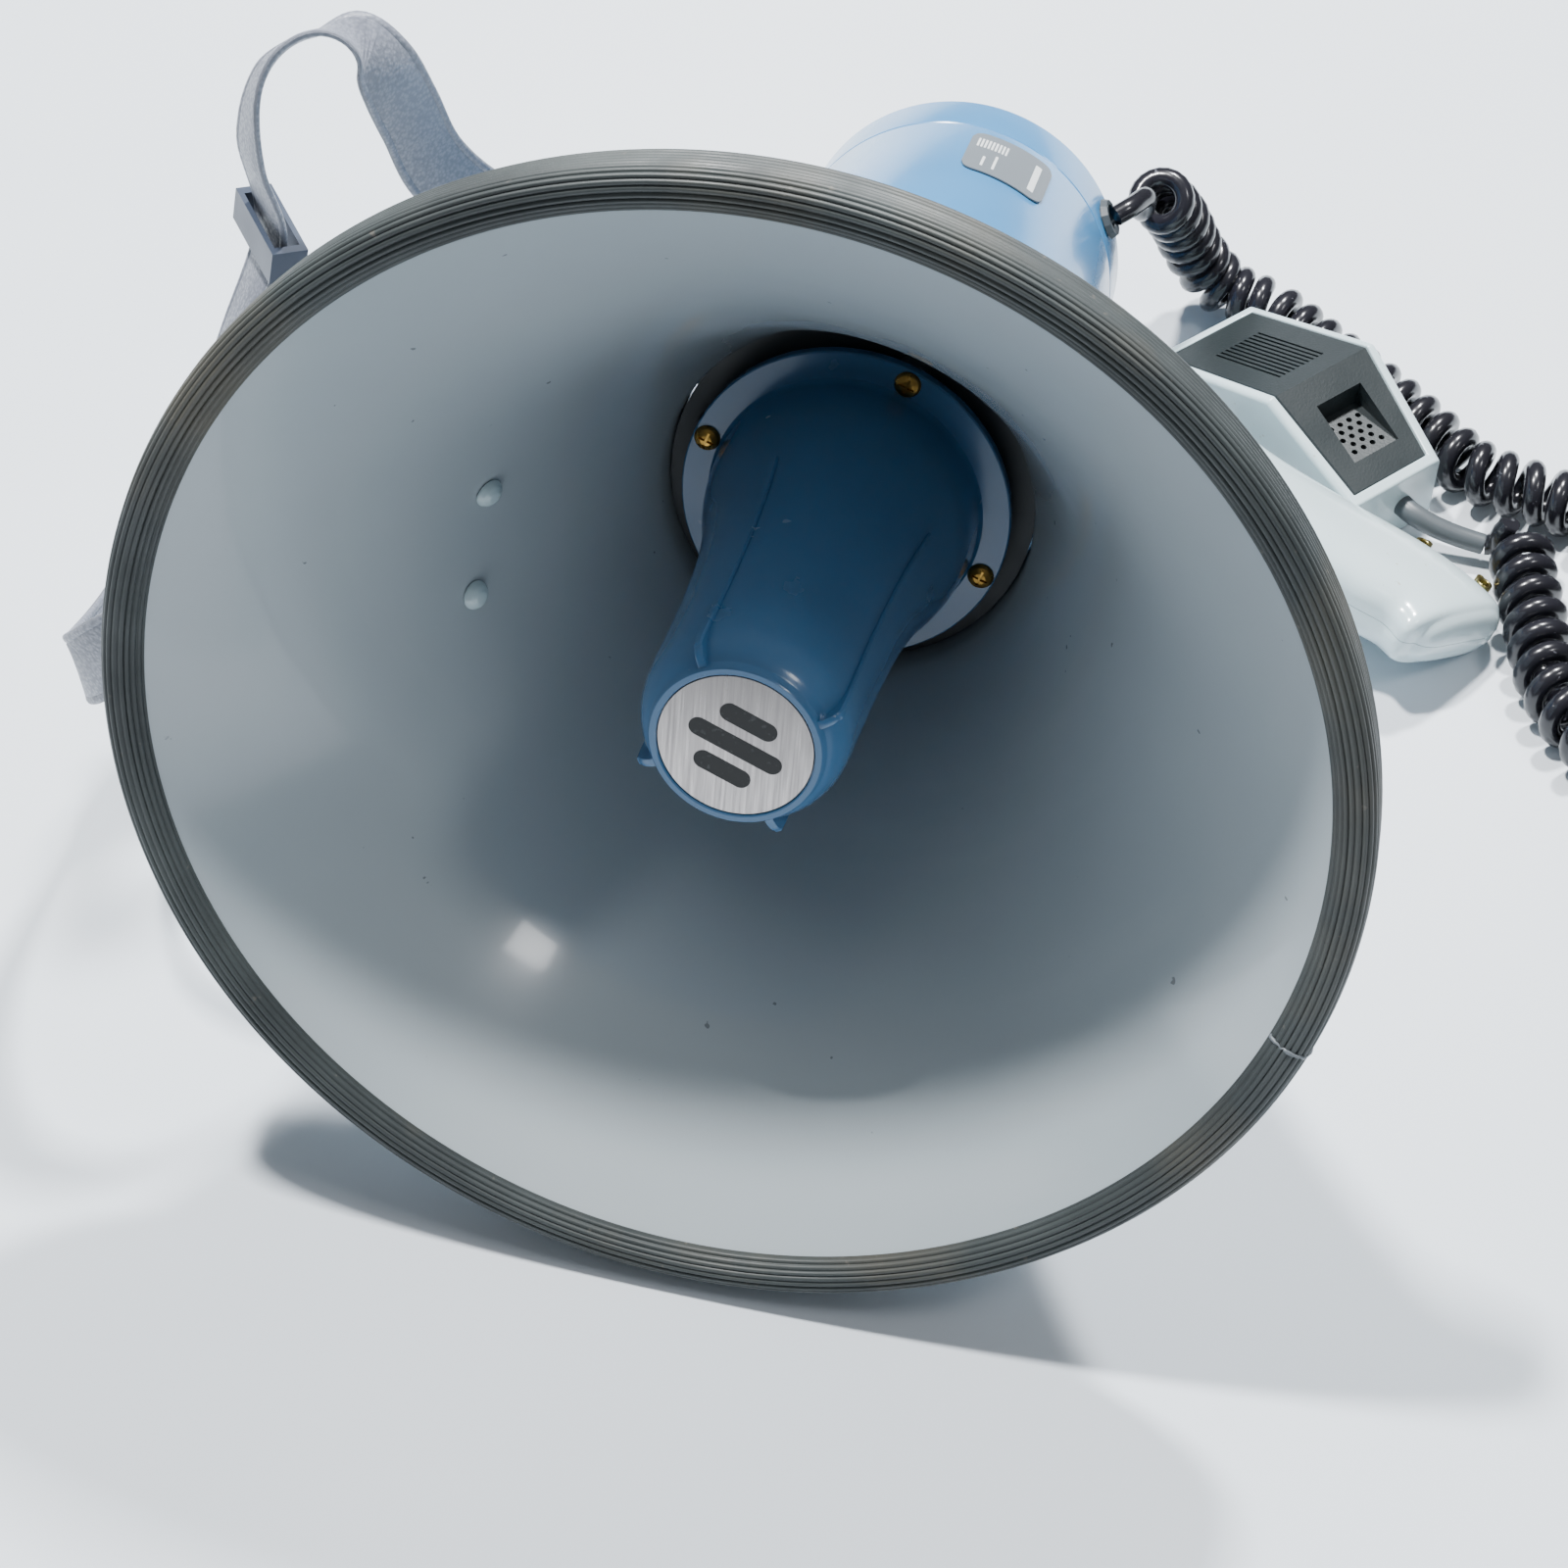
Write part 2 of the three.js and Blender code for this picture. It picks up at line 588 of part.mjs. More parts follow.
function strapFrame(t) {
  const middle = smoothCurve(STRAP_ROUTE);
  const span = t * (STRAP_ACROSS.length - 1);
  const before = Math.min(Math.floor(span), STRAP_ACROSS.length - 2);
  const across = new THREE.Vector3(...STRAP_ACROSS[before]);
  across.lerp(new THREE.Vector3(...STRAP_ACROSS[before + 1]), span - before);
  const spot = middle.getPoint(t);
  const along = middle.getTangent(t);
  across.addScaledVector(along, -across.dot(along)).normalize();
  return { spot, along, across, out: new THREE.Vector3().crossVectors(along, across) };
}

// Corners of the strap's section, or of one grown from it, moved forward along the strap.
function strapRing(t, width, thickness, forward = 0) {
  const { spot, along, across, out } = strapFrame(t);
  return [[-1, -1], [1, -1], [1, 1], [-1, 1]].map(([u, v]) => {
    const corner = spot.clone().addScaledVector(across, (u * width) / 2).addScaledVector(along, forward);
    return corner.addScaledVector(out, (v * thickness) / 2).toArray();
  });
}

function shoulderStrap() {
  const rings = [];
  for (let i = 0; i <= STRAP.steps; i += 1) {
    rings.push(strapRing(i / STRAP.steps, STRAP.width, STRAP.thickness));
  }
  return named("shoulder_strap", loft(rings), VINYL);
}

// The slide that doubles the strap back at the foot of the high loop.
function strapSlide() {
  const at = SLIDE_POINT / (STRAP_ROUTE.length - 1);
  const frame = [-5, 5].map((forward) => strapRing(at, 28, 10, forward));
  const opening = [-7, 7].map((forward) => strapRing(at, 23, 7, forward));
  return named("strap_slide", cut(loft(frame), loft(opening)), DARK_PLASTIC);
}

// ---------- hand microphone ----------
// Drawn with x towards the cord end, z up; sections give x, half width and top height.
const MIC_SECTIONS = [
  { x: -52, half: 21.6, top: 20 },
  { x: 0, half: 22.2, top: 42 },
  { x: 38, half: 18.3, top: 24 },
];

// Rise of the top per unit of x, before and after the ridge.
const MIC_SLOPES = [22 / 52, 0, -18 / 38];

function micLoft({ inset = 0, drop = 0, bottom = 0, ends = inset, corner = 3 }) {
  const rings = MIC_SECTIONS.map(({ x, half, top }, i) => {
    const w = half - inset;
    const c = Math.min(corner, w / 3);
    const shift = [ends, 0, -ends][i];
    const place = x + shift;
    const z = top - drop + shift * MIC_SLOPES[i];
    const left = [[-w + c * 0.5, z], [-w, z - c * 0.5], [-w, bottom]];
    const right = [[w, bottom], [w, z - c * 0.5], [w - c * 0.5, z]];
    return [...right, ...left].map(([y, height]) => [place, y, height]);
  });
  return loft(rings);
}

const TALK = { x: 6, z: 17, length: 30, height: 9 };

function micShell() {
  const outside = micLoft({});
  const room = micLoft({ inset: MIC_WALL, drop: 2.8, bottom: -2 });
  const recess = micLoft({ inset: 3.2, drop: -6, bottom: 0, corner: 1 });
  const floor = micLoft({ inset: 0, drop: 1.5, bottom: -1, ends: -4 });
  const window = micLoft({ inset: 6, drop: -6, bottom: 6, corner: 1 });
  const talkSlot = box(TALK.length + 1, 12, TALK.height + 1, TALK.x, 20, TALK.z);
  const cordHole = new THREE.CylinderGeometry(4.2, 4.2, 12, 16).rotateZ(Math.PI / 2).translate(38, 5, 12);
  const pocket = solid(recess).subtract(solid(floor));
  const shell = solid(outside).subtract(solid(room)).subtract(pocket).subtract(solid(window));
  const open = shell.subtract(solid(talkSlot)).subtract(solid(cordHole));
  return named("mic_shell", geometryOf(open), WHITE_PLASTIC);
}

function micPanel() {
  const outside = micLoft({ inset: 3.6, drop: 0.2, bottom: 0, corner: 1 });
  const below = micLoft({ inset: -5, drop: 1.2, bottom: -5, ends: -5 });
  let panel = solid(outside).subtract(solid(below));
  for (let i = 0; i < 10; i += 1) {
    panel = panel.subtract(solid(box(28, 0.84, 30, -22, -9 + i * 1.95, 30)));
  }
  panel = panel.subtract(solid(box(17, 18, 40, 18, 0, 30)));
  return named("mic_panel", geometryOf(panel), DARK_PLASTIC);
}

function micPieces() {
  const cap = new THREE.CylinderGeometry(8.4, 8.4, 7, 16).rotateX(Math.PI / 2).translate(18, 0, 20);
  const plate = box(TALK.length, 4, TALK.height, TALK.x, 21.4, TALK.z);
  const talk = join(plate, box(6, 5, 5, TALK.x, 18, TALK.z));
  return [
    micShell(),
    micPanel(),
    named("mic_back", box(84.4, 31.2, 1.8, -7, 0, 0.9), WHITE_PLASTIC),
    named("mic_capsule", cap, STEEL),
    named("talk_button", talk, DARK_PLASTIC),
    named("talk_switch", box(12, 5.6, 9, 3, 10.6, TALK.z), BOARD_GREEN),
  ];
}

// ---------- cord ----------
const LEAD_ROUTE = [[47.8, 308.3, 73.6], [51.5, 312, 74.6], [54.5, 319, 73.2], [56.7, 327.6, 68.2]];
const COIL_ROUTE = [
  [57.5, 331, 66], [64, 344, 47], [69.5, 352, 29], [77, 354.5, 16.5], [86.5, 352, 11.2],
  [98.6, 348, 10.6], [117.9, 332.8, 10.6], [139.4, 315.7, 10.6], [157.2, 300, 10.6],
  [168.5, 290.3, 10.6], [182, 285.4, 10.6],
  [196, 282, 10.6], [212, 274, 10.6], [232, 262, 10.6], [247, 243, 10.6], [253, 221, 10.6],
  [249, 200, 10.6], [239, 184.6, 10.6], [229, 180.5, 10.6], [226, 180.5, 10.6],
];
const MIC_COIL_ROUTE = [
  [225.6, 180.5, 10.6], [222.6, 180.5, 10.6], [213, 186, 10.6], [205, 196, 10.6], [198.5, 209, 10.6],
  [195, 223, 10.6], [191.6, 236, 10.6], [188.4, 249, 10.6], [187, 258, 10.6], [187, 266, 10.6],
];
const RELIEF_ROUTE = [
  [147.2, 269.6, 12], [149.5, 267.6, 12], [153, 265, 11.6], [160, 263.2, 9.6], [168, 262.4, 7.8],
  [176.2, 262, 6.6],
];

function cordPieces() {
  return [
    named("cord_lead", tube(LEAD_ROUTE, CABLE_D, 4, 8), CORD_BLACK),
    named("cord_coil", tube(COIL_ROUTE, COIL_D, 26, 10), CORD_BLACK),
    named("cord_coil_mic", tube(MIC_COIL_ROUTE, COIL_D, 10, 10), CORD_BLACK),
    named("mic_strain_relief", tube(RELIEF_ROUTE, 7, 8, 8), MAGNET_GREY),
  ];
}

// ---------- assembly ----------
function megaphone() {
  const upright = new THREE.Group();
  upright.add(hornBell(), rimTrim(), reflector(), reflectorBadge(), hornBase(), soundTube());
  POSTS.forEach((angle, i) => upright.add(reflectorScrew(angle, i + 1)));
  upright.add(...driverPieces(), ...amplifierPieces(), ...batteryPieces());
  upright.add(rearBody(), rearCap(), batteryLid(), ...volumePieces(), cordGland(), bodyLabel());
  upright.add(gripShell("grip_left_shell", -1), gripShell("grip_right_shell", 1));
  upright.add(gripScrew(1, -74), gripScrew(2, -150), wristBail());
  upright.add(hornBracket(), hornRivet(1, -1), hornRivet(2, 1), rearLug());
  upright.rotation.y = -(Math.PI / 2 - GRIP_DROP);
  const laid = new THREE.Group();
  laid.add(upright);
  laid.rotation.x = -SLOPE;
  laid.position.z = AXIS_HEIGHT;
  return laid;
}

function handMicrophone() {
  const group = new THREE.Group();
  group.add(...micPieces());
  group.rotation.z = MIC_AT.turn;
  group.position.set(MIC_AT.x, MIC_AT.y, 0);
  return group;
}

const assembly = new THREE.Group();
assembly.add(megaphone(), handMicrophone(), shoulderStrap(), strapSlide(), ...cordPieces());
assembly.position.set(-CENTRE.x, -CENTRE.y, 0);

export default assembly;
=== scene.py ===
# Handheld megaphone lying on its side, with its strap and a hand microphone on a curly cord.
# Shapes are drawn in millimetres: the megaphone upright (horn axis along +Y to the rear, grip
# towards -Z), the microphone flat on its back, and the strap and cord where they lie.
import math

import bmesh
import bpy
from mathutils import Matrix, Vector, noise


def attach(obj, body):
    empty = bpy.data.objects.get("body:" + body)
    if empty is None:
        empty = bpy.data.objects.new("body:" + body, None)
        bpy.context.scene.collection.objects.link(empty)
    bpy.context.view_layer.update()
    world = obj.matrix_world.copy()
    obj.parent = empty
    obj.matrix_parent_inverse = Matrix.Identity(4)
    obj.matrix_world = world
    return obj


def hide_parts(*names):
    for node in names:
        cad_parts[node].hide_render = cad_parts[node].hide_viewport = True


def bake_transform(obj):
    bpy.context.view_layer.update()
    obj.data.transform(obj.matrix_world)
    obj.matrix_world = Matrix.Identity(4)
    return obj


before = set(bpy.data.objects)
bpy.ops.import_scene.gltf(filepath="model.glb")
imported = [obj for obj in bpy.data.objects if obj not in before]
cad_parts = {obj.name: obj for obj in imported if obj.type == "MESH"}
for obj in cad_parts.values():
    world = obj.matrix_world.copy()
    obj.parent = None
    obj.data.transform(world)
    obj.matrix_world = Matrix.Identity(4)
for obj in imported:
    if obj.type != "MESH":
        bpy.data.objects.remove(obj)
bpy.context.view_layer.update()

# ---------- driving dimensions, in millimetres ----------
MM = 0.001
SLOPE = math.radians(17.75)
GRIP_DROP = math.radians(19.5)
CENTRE = Vector((-5.2, 147, 0))

RIM_R = 150
RIM_DEPTH = 14
BODY_R = 50.3
SHELL = 2.5
BODY_FRONT_S = 160
SEAM_S = 305
LENGTH = 325.7
HORN_WALL = 1.2
NECK_R = 50.9
NECK_S = 150
HORN_END_S = 176
MOUTH_EDGE_R = 142.2
REFLECTOR_FACE_S = 21.8
FLANGE_S = 150
POST_R = 41
BADGE_R = 18.9
LID_R = 35
KNOB_RING = 42.3
BRACKET_TURN = math.radians(-13.8)
BRACKET_S = 80.5
RIVET_SPREAD = 15.2

CABLE_D = 6.4
COIL_D = 20.4
COIL_PITCH = 8.9
COIL_STEPS = 20

MIC_AT = Vector((117.6, 289, 0))
MIC_TURN = math.radians(-40.7)

# The rim and the rear end stand on the floor, so the mouth's middle is this high.
AXIS_HEIGHT = RIM_DEPTH * math.sin(SLOPE) + RIM_R * math.cos(SLOPE)
FLOOR_FRAME = Matrix.Translation(-CENTRE * MM)
HORN_FRAME = (
    FLOOR_FRAME
    @ Matrix.Translation((0, 0, AXIS_HEIGHT * MM))
    @ Matrix.Rotation(-SLOPE, 4, "X")
    @ Matrix.Rotation(GRIP_DROP - math.pi / 2, 4, "Y")
)
MIC_FRAME = FLOOR_FRAME @ Matrix.Translation(MIC_AT * MM) @ Matrix.Rotation(MIC_TURN, 4, "Z")


# ---------- mesh helpers ----------
def place(name, mesh, place_in, material, body, crease=35):
    """Makes an object of a mesh drawn in millimetres in one of the frames above."""
    mesh.transform(place_in @ Matrix.Scale(MM, 4))
    for polygon in mesh.polygons:
        polygon.use_smooth = True
    mesh.set_sharp_from_angle(angle=math.radians(crease))
    obj = bpy.data.objects.new(name, mesh)
    bpy.context.scene.collection.objects.link(obj)
    mesh.materials.append(material)
    if body:
        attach(obj, body)
    return obj


def mesh_of(name, points, faces):
    mesh = bpy.data.meshes.new(name)
    mesh.from_pydata([tuple(p) for p in points], [], faces)
    tidy = bmesh.new()
    tidy.from_mesh(mesh)
    bmesh.ops.remove_doubles(tidy, verts=tidy.verts, dist=1e-4)
    bmesh.ops.recalc_face_normals(tidy, faces=tidy.faces)
    tidy.to_mesh(mesh)
    tidy.free()
    return mesh


def skin(rings, closed=False):
    """Points and faces of a surface through rings of points, with flat ends if it has ends."""
    count = len(rings[0])
    faces = []
    levels = len(rings)
    for level in range(levels if closed else levels - 1):
        above = (level + 1) % levels
        for i in range(count):
            j = (i + 1) % count
            faces.append((level * count + i, level * count + j, above * count + j, above * count + i))
    if not closed:
        faces.append(tuple(range(count - 1, -1, -1)))
        faces.append(tuple((levels - 1) * count + i for i in range(count)))
    return [p for ring in rings for p in ring], faces


def loft(name, rings, closed=False):
    return mesh_of(name, *skin(rings, closed))


def filleted(outline, radius):
    """A closed outline with its corners rounded, as far as its sides allow."""
    steps = 4
    result = []
    count = len(outline)
    for i in range(count):
        corner = Vector(outline[i])
        before = Vector(outline[i - 1]) - corner
        after = Vector(outline[(i + 1) % count]) - corner
        on_axis = corner.x == 0
        reach = min(radius, before.length * 0.45, after.length * 0.45)
        if on_axis or reach < 0.02:
            result.append(tuple(corner))
            continue
        start = corner + before.normalized() * reach
        end = corner + after.normalized() * reach
        for k in range(steps + 1):
            t = k / steps
            spot = start * (1 - t) ** 2 + corner * 2 * t * (1 - t) + end * t ** 2
            result.append(tuple(spot))
    return result


def turned(name, outline, sides=160, fillet=0.5):
    """A closed piece turned about the Y axis; the outline is (radius, station) pairs."""
    shape = filleted(outline, fillet) if fillet else outline
    rings = []
    for i in range(sides):
        angle = 2 * math.pi * i / sides
        rings.append([(r * math.sin(angle), s, r * math.cos(angle)) for r, s in shape])
    return loft(name, rings, closed=True)


def catmull(points, per_span):
    """Points of a smooth curve through the given ones; they may be of any dimension."""
    knots = [Vector(p) for p in points]
    knots = [knots[0] * 2 - knots[1]] + knots + [knots[-1] * 2 - knots[-2]]
    result = []
    for i in range(1, len(knots) - 2):
        p0, p1, p2, p3 = knots[i - 1:i + 3]
        for k in range(per_span):
            t = k / per_span
            bend = (p0 * 2 - p1 * 5 + p2 * 4 - p3) * t * t + (p1 * 3 - p0 - p2 * 3 + p3) * t ** 3
            result.append((p1 * 2 + (p2 - p0) * t + bend) * 0.5)
    return result + [knots[-2]]


def frames_along(path):
    """Tangent and two normals at each point, carried along without twist."""
    result = []
    side = None
    for i in range(len(path)):
        ahead = path[min(i + 1, len(path) - 1)] - path[max(i - 1, 0)]
        along = ahead.normalized()
        if side is None:
            side = along.cross(Vector((0, 0, 1)))
            if side.length < 0.1:
                side = along.cross(Vector((1, 0, 0)))
        side = (side - along * side.dot(along)).normalized()
        result.append((along, side, along.cross(side)))
    return result


def sweep(name, path, radius, sides=14, rounded=0.0):
    """A tube along a path; rounded is how far each end's edge is rounded over."""
    frames = frames_along(path)
    rings = []
    last = len(path) - 1
    for i, spot in enumerate(path):
        along, side, up = frames[i]
        wide = radius(i / last) if callable(radius) else radius
        if rounded and i in (0, last):
            sign = -1 if i == 0 else 1
            turn = [(1, -rounded), (1 - rounded / wide * 0.3, -rounded * 0.3), (1 - rounded / wide, 0)]
            turn = turn if i == last else turn[::-1]
        else:
            sign = 0
            turn = [(1, 0)]
        for scale, back in turn:
            middle = spot + along * back * sign
            rings.append([
                middle + (side * math.cos(a) + up * math.sin(a)) * wide * scale
                for a in (2 * math.pi * k / sides for k in range(sides))
            ])
    return loft(name, rings)


def even(path, step):
    """The path again, with points the same distance apart."""
    result = [path[0]]
    left = step
    for a, b in zip(path, path[1:]):
        span = (b - a).length
        while span >= left and span > 0:
            a = a + (b - a) * (left / span)
            result.append(a)
            span = (b - a).length
            left = step
        left -= span
    return result


def path_length(path):
    return sum((b - a).length for a, b in zip(path, path[1:]))


def box_mesh(name, low, high, bevel=0.0):
    work = bmesh.new()
    bmesh.ops.create_cube(work, size=1)
    for vert in work.verts:
        for axis in range(3):
            vert.co[axis] = low[axis] if vert.co[axis] < 0 else high[axis]
    if bevel:
        bmesh.ops.bevel(work, geom=work.edges[:], offset=bevel, segments=3, profile=0.6,
                        affect="EDGES")
    mesh = bpy.data.meshes.new(name)
    work.to_mesh(mesh)
    work.free()
    return mesh


def merged(name, meshes):
    work = bmesh.new()
    for mesh in meshes:
        work.from_mesh(mesh)
    mesh = bpy.data.meshes.new(name)
    work.to_mesh(mesh)
    work.free()
    return mesh


def moved(mesh, matrix):
    mesh.transform(matrix)
    if matrix.determinant() < 0:
        mesh.flip_normals()
    return mesh


def carve(mesh, cutters):
    """The mesh with the cutters taken out of it."""
    base = bpy.data.objects.new("base", mesh)
    tool = bpy.data.objects.new("tool", merged("tool", cutters))
    for obj in (base, tool):
        bpy.context.scene.collection.objects.link(obj)
    modifier = base.modifiers.new("cut", "BOOLEAN")
    modifier.object = tool
    modifier.operation = "DIFFERENCE"
    modifier.solver = "EXACT"
    modifier.use_self = True
    done = bpy.data.meshes.new_from_object(base.evaluated_get(bpy.context.evaluated_depsgraph_get()))
    for obj in (base, tool):
        bpy.data.objects.remove(obj)
    done.materials.clear()
    return done


def add_bevel(obj, width, segments=3, limit=30):
    modifier = obj.modifiers.new("edges", "BEVEL")
    modifier.width = width * MM
    modifier.segments = segments
    modifier.limit_method = "ANGLE"
    modifier.angle_limit = math.radians(limit)
    modifier.harden_normals = False
    return obj


# ---------- materials ----------
def linear(hex_colour):
    channels = [int(hex_colour[i:i + 2], 16) / 255 for i in (1, 3, 5)]
    return [c / 12.92 if c < 0.04045 else ((c + 0.055) / 1.055) ** 2.4 for c in channels] + [1]


class Nodes:
    """A material's node tree, with short calls for what these materials use."""

    def __init__(self, name, roughness=0.4, metallic=0.0, coat=0.0, specular=0.5):
        self.material = bpy.data.materials.new(name)
        self.material.use_nodes = True
        self.tree = self.material.node_tree
        self.shader = self.tree.nodes["Principled BSDF"]
        self.shader.inputs["Roughness"].default_value = roughness
        self.shader.inputs["Metallic"].default_value = metallic
        self.shader.inputs["Coat Weight"].default_value = coat
        self.shader.inputs["Coat Roughness"].default_value = 0.06
        self.shader.inputs["Specular IOR Level"].default_value = specular
        self.where = self.tree.nodes.new("ShaderNodeTexCoord")

    def spread(self, stretch=(1, 1, 1), coordinates="Object"):
        mapping = self.tree.nodes.new("ShaderNodeMapping")
        mapping.inputs["Scale"].default_value = stretch
        self.tree.links.new(self.where.outputs[coordinates], mapping.inputs["Vector"])
        return mapping.outputs["Vector"]

    def noise(self, scale, detail=4, stretch=(1, 1, 1), coordinates="Object"):
        node = self.tree.nodes.new("ShaderNodeTexNoise")
        node.inputs["Scale"].default_value = scale
        node.inputs["Detail"].default_value = detail
        self.tree.links.new(self.spread(stretch, coordinates), node.inputs["Vector"])
        return node.outputs["Fac"]

    def cells(self, scale, stretch=(1, 1, 1), coordinates="Object"):
        node = self.tree.nodes.new("ShaderNodeTexVoronoi")
        node.inputs["Scale"].default_value = scale
        self.tree.links.new(self.spread(stretch, coordinates), node.inputs["Vector"])
        return node.outputs["Distance"]

    def range(self, value, low, high, to_low, to_high):
        node = self.tree.nodes.new("ShaderNodeMapRange")
        for key, number in zip(("From Min", "From Max", "To Min", "To Max"), (low, high, to_low, to_high)):
            node.inputs[key].default_value = number
        self.tree.links.new(value, node.inputs["Value"])
        return node.outputs["Result"]

    def mix(self, factor, first, second):
        node = self.tree.nodes.new("ShaderNodeMix")
        node.data_type = "RGBA"
        self.tree.links.new(factor, node.inputs["Factor"])
        for socket, value in ((node.inputs[6], first), (node.inputs[7], second)):
            if isinstance(value, str):
                socket.default_value = linear(value)
            else:
                self.tree.links.new(value, socket)
        return node.outputs[2]

    def colour(self, value):
        self.tree.links.new(value, self.shader.inputs["Base Color"])
        return self

    def roughness(self, value):
        self.tree.links.new(value, self.shader.inputs["Roughness"])
        return self

    def bump(self, value, depth, strength=1.0, chained=None):
        node = self.tree.nodes.new("ShaderNodeBump")
        node.inputs["Distance"].default_value = depth * MM
        node.inputs["Strength"].default_value = strength
        self.tree.links.new(value, node.inputs["Height"])
        if chained:
            self.tree.links.new(chained, node.inputs["Normal"])
        self.tree.links.new(node.outputs["Normal"], self.shader.inputs["Normal"])
        return node.outputs["Normal"]


def moulded(name, colour, shade, roughness=0.3, grain=0.02, coat=0.0, metallic=0.0, specks=None):
    """Moulded or painted surface: slight mottling, uneven gloss, fine grain and sparse specks."""
    made = Nodes(name, roughness, metallic, coat)
    cloud = made.noise(18, 5)
    base = made.mix(made.range(cloud, 0.35, 0.68, 0, 1), colour, shade)
    if specks:
        spots = made.range(made.noise(420, 2), 0.72, 0.78, 0, 0.7)
        base = made.mix(spots, base, specks)
    made.colour(base)
    smears = made.noise(60, 6)
    made.roughness(made.range(smears, 0.3, 0.7, roughness * 0.88, roughness * 1.15))
    coarse = made.bump(made.noise(45, 2), 0.02, 0.1)
    made.bump(made.noise(1400, 2), grain, 0.5, coarse)
    return made.material


def enamel():
    """Cool grey enamel on the horn, with faint rubs, small dark chips and dusty patches."""
    made = Nodes("grey_enamel", 0.2, 0, 0.35)
    base = made.mix(made.range(made.noise(7, 4), 0.35, 0.7, 0, 1), "#aeb8bd", "#a3aeb4")
    chips = made.range(made.noise(230, 2), 0.765, 0.785, 0, 0.7)
    base = made.mix(chips, base, "#5b5f60")
    rubs = made.range(made.noise(9, 8, (1, 5, 1)), 0.6, 0.75, 0, 0.12)
    made.colour(made.mix(rubs, base, "#c3cacd"))
    made.roughness(made.range(made.noise(40, 5), 0.3, 0.7, 0.17, 0.23))
    made.bump(made.noise(14, 2), 0.1, 0.1)
    return made.material


def rubber():
    """Charcoal rubber of the rim, with brownish dust in patches and worn ridges."""
    made = Nodes("rim_rubber", 0.5, 0, 0, 0.4)
    base = made.mix(made.range(made.noise(22, 5), 0.35, 0.65, 0, 1), "#34393a", "#454b4b")
    dust = made.range(made.noise(16, 8), 0.5, 0.72, 0, 0.6)
    base = made.mix(dust, base, "#5f594b")
    nicks = made.range(made.noise(300, 3), 0.7, 0.78, 0, 0.7)
    made.colour(made.mix(nicks, base, "#6d6a62"))
    made.roughness(made.range(made.noise(70, 6), 0.3, 0.7, 0.36, 0.62))
    made.bump(made.noise(900, 4), 0.06, 0.6)
    return made.material


def brushed(name, colour, shade, stretch, roughness=0.34):
    """Metal brushed in one direction."""
    made = Nodes(name, roughness, 1.0)
    lines = made.noise(60, 8, stretch)
    made.colour(made.mix(made.range(lines, 0.3, 0.7, 0, 1), colour, shade))
    made.roughness(made.range(lines, 0.3, 0.7, roughness * 0.7, roughness * 1.4))
    made.bump(lines, 0.03, 0.5)
    return made.material


def vinyl():
    """Silver-grey vinyl with a pressed grain, a painted highlight of lighter grey in each grain cell, and
    a welded line along each edge.
    """
    made = Nodes("strap_vinyl", 0.4, 0, 0, 0.5)
    grain = made.cells(1, (19, 19, 19), "UV")
    cloud = made.range(made.noise(0.25, 4, coordinates="UV"), 0.35, 0.65, 0, 1)
    base = made.mix(cloud, "#777b87", "#6b707c")
    # Painted highlight: a lighter grey mixed into the middle of each grain cell stands in for sheen on the
    # pressed grain.
    made.colour(made.mix(made.range(grain, 0.2, 0.7, 0.4, 0), base, "#9da1ac"))
    made.roughness(made.range(grain, 0.1, 0.7, 0.3, 0.5))
    made.bump(grain, 0.22, 0.7)
    return made.material


def ink(name, colour, roughness=0.4):
    """Printed or inked surface with slightly uneven cover."""
    made = Nodes(name, roughness)
    cover = made.range(made.noise(700, 3), 0.6, 0.75, 0, 0.25)
    made.colour(made.mix(cover, colour, "#6a6c6e"))
    made.bump(made.noise(1200, 2), 0.01, 0.4)
    return made.material


def ferrite():
    made = Nodes("ferrite", 0.75)
    made.colour(made.mix(made.range(made.noise(120, 6), 0.35, 0.65, 0, 1), "#44464a", "#606266"))
    made.bump(made.noise(700, 5), 0.1, 0.8)
    return made.material


ENAMEL = enamel()
RUBBER = rubber()
BLUE = moulded("blue_plastic", "#41709a", "#3d6b94", 0.24, 0.02, 0.2)
SKY = moulded("sky_blue_plastic", "#4585b8", "#3f7eb0", 0.2, 0.015, 0.3)
WHITE = moulded("white_plastic", "#c6d8dc", "#bed2d7", 0.2, 0.02, 0.3, 0, "#a9a594")
PANEL = moulded("panel_plastic", "#1f2628", "#1b2224", 0.45, 0.12)
DARK = moulded("dark_plastic", "#3a4146", "#33393e", 0.5, 0.1)
RELIEF = moulded("relief_rubber", "#4f5559", "#454b4f", 0.38, 0.03)
CORD = moulded("cord_jacket", "#16161b", "#1d1d24", 0.22, 0.02, 0.15, 0, "#6f7078")
LABEL = moulded("label_grey", "#6d747a", "#666d73", 0.35, 0.02)
BARS = ink("label_bars", "#d5d9da")
BLACK_INK = ink("badge_ink", "#0c0d0e", 0.5)
ALUMINIUM = brushed("badge_aluminium", "#b5b0ae", "#a39e9d", (30, 1, 1))
STEEL = brushed("plated_steel", "#a2a5a8", "#8c9094", (1, 6, 12), 0.3)
ZINC = brushed("yellow_zinc", "#b7a566", "#9d9667", (8, 8, 8), 0.28)
BRASS = brushed("brass", "#b08d4a", "#94743a", (4, 4, 4), 0.3)
SLIDE = moulded("slide_plastic", "#3d4656", "#363e4d", 0.35, 0.05)
BOARD = moulded("circuit_board", "#2f6b46", "#275c3c", 0.5, 0.05)
CELL = moulded("cell_sleeve", "#8a2f2b", "#7c2926", 0.35, 0.02)
CONE = moulded("phenolic", "#6b5a45", "#5f4f3c", 0.6, 0.2)
FERRITE = ferrite()
VINYL = vinyl()


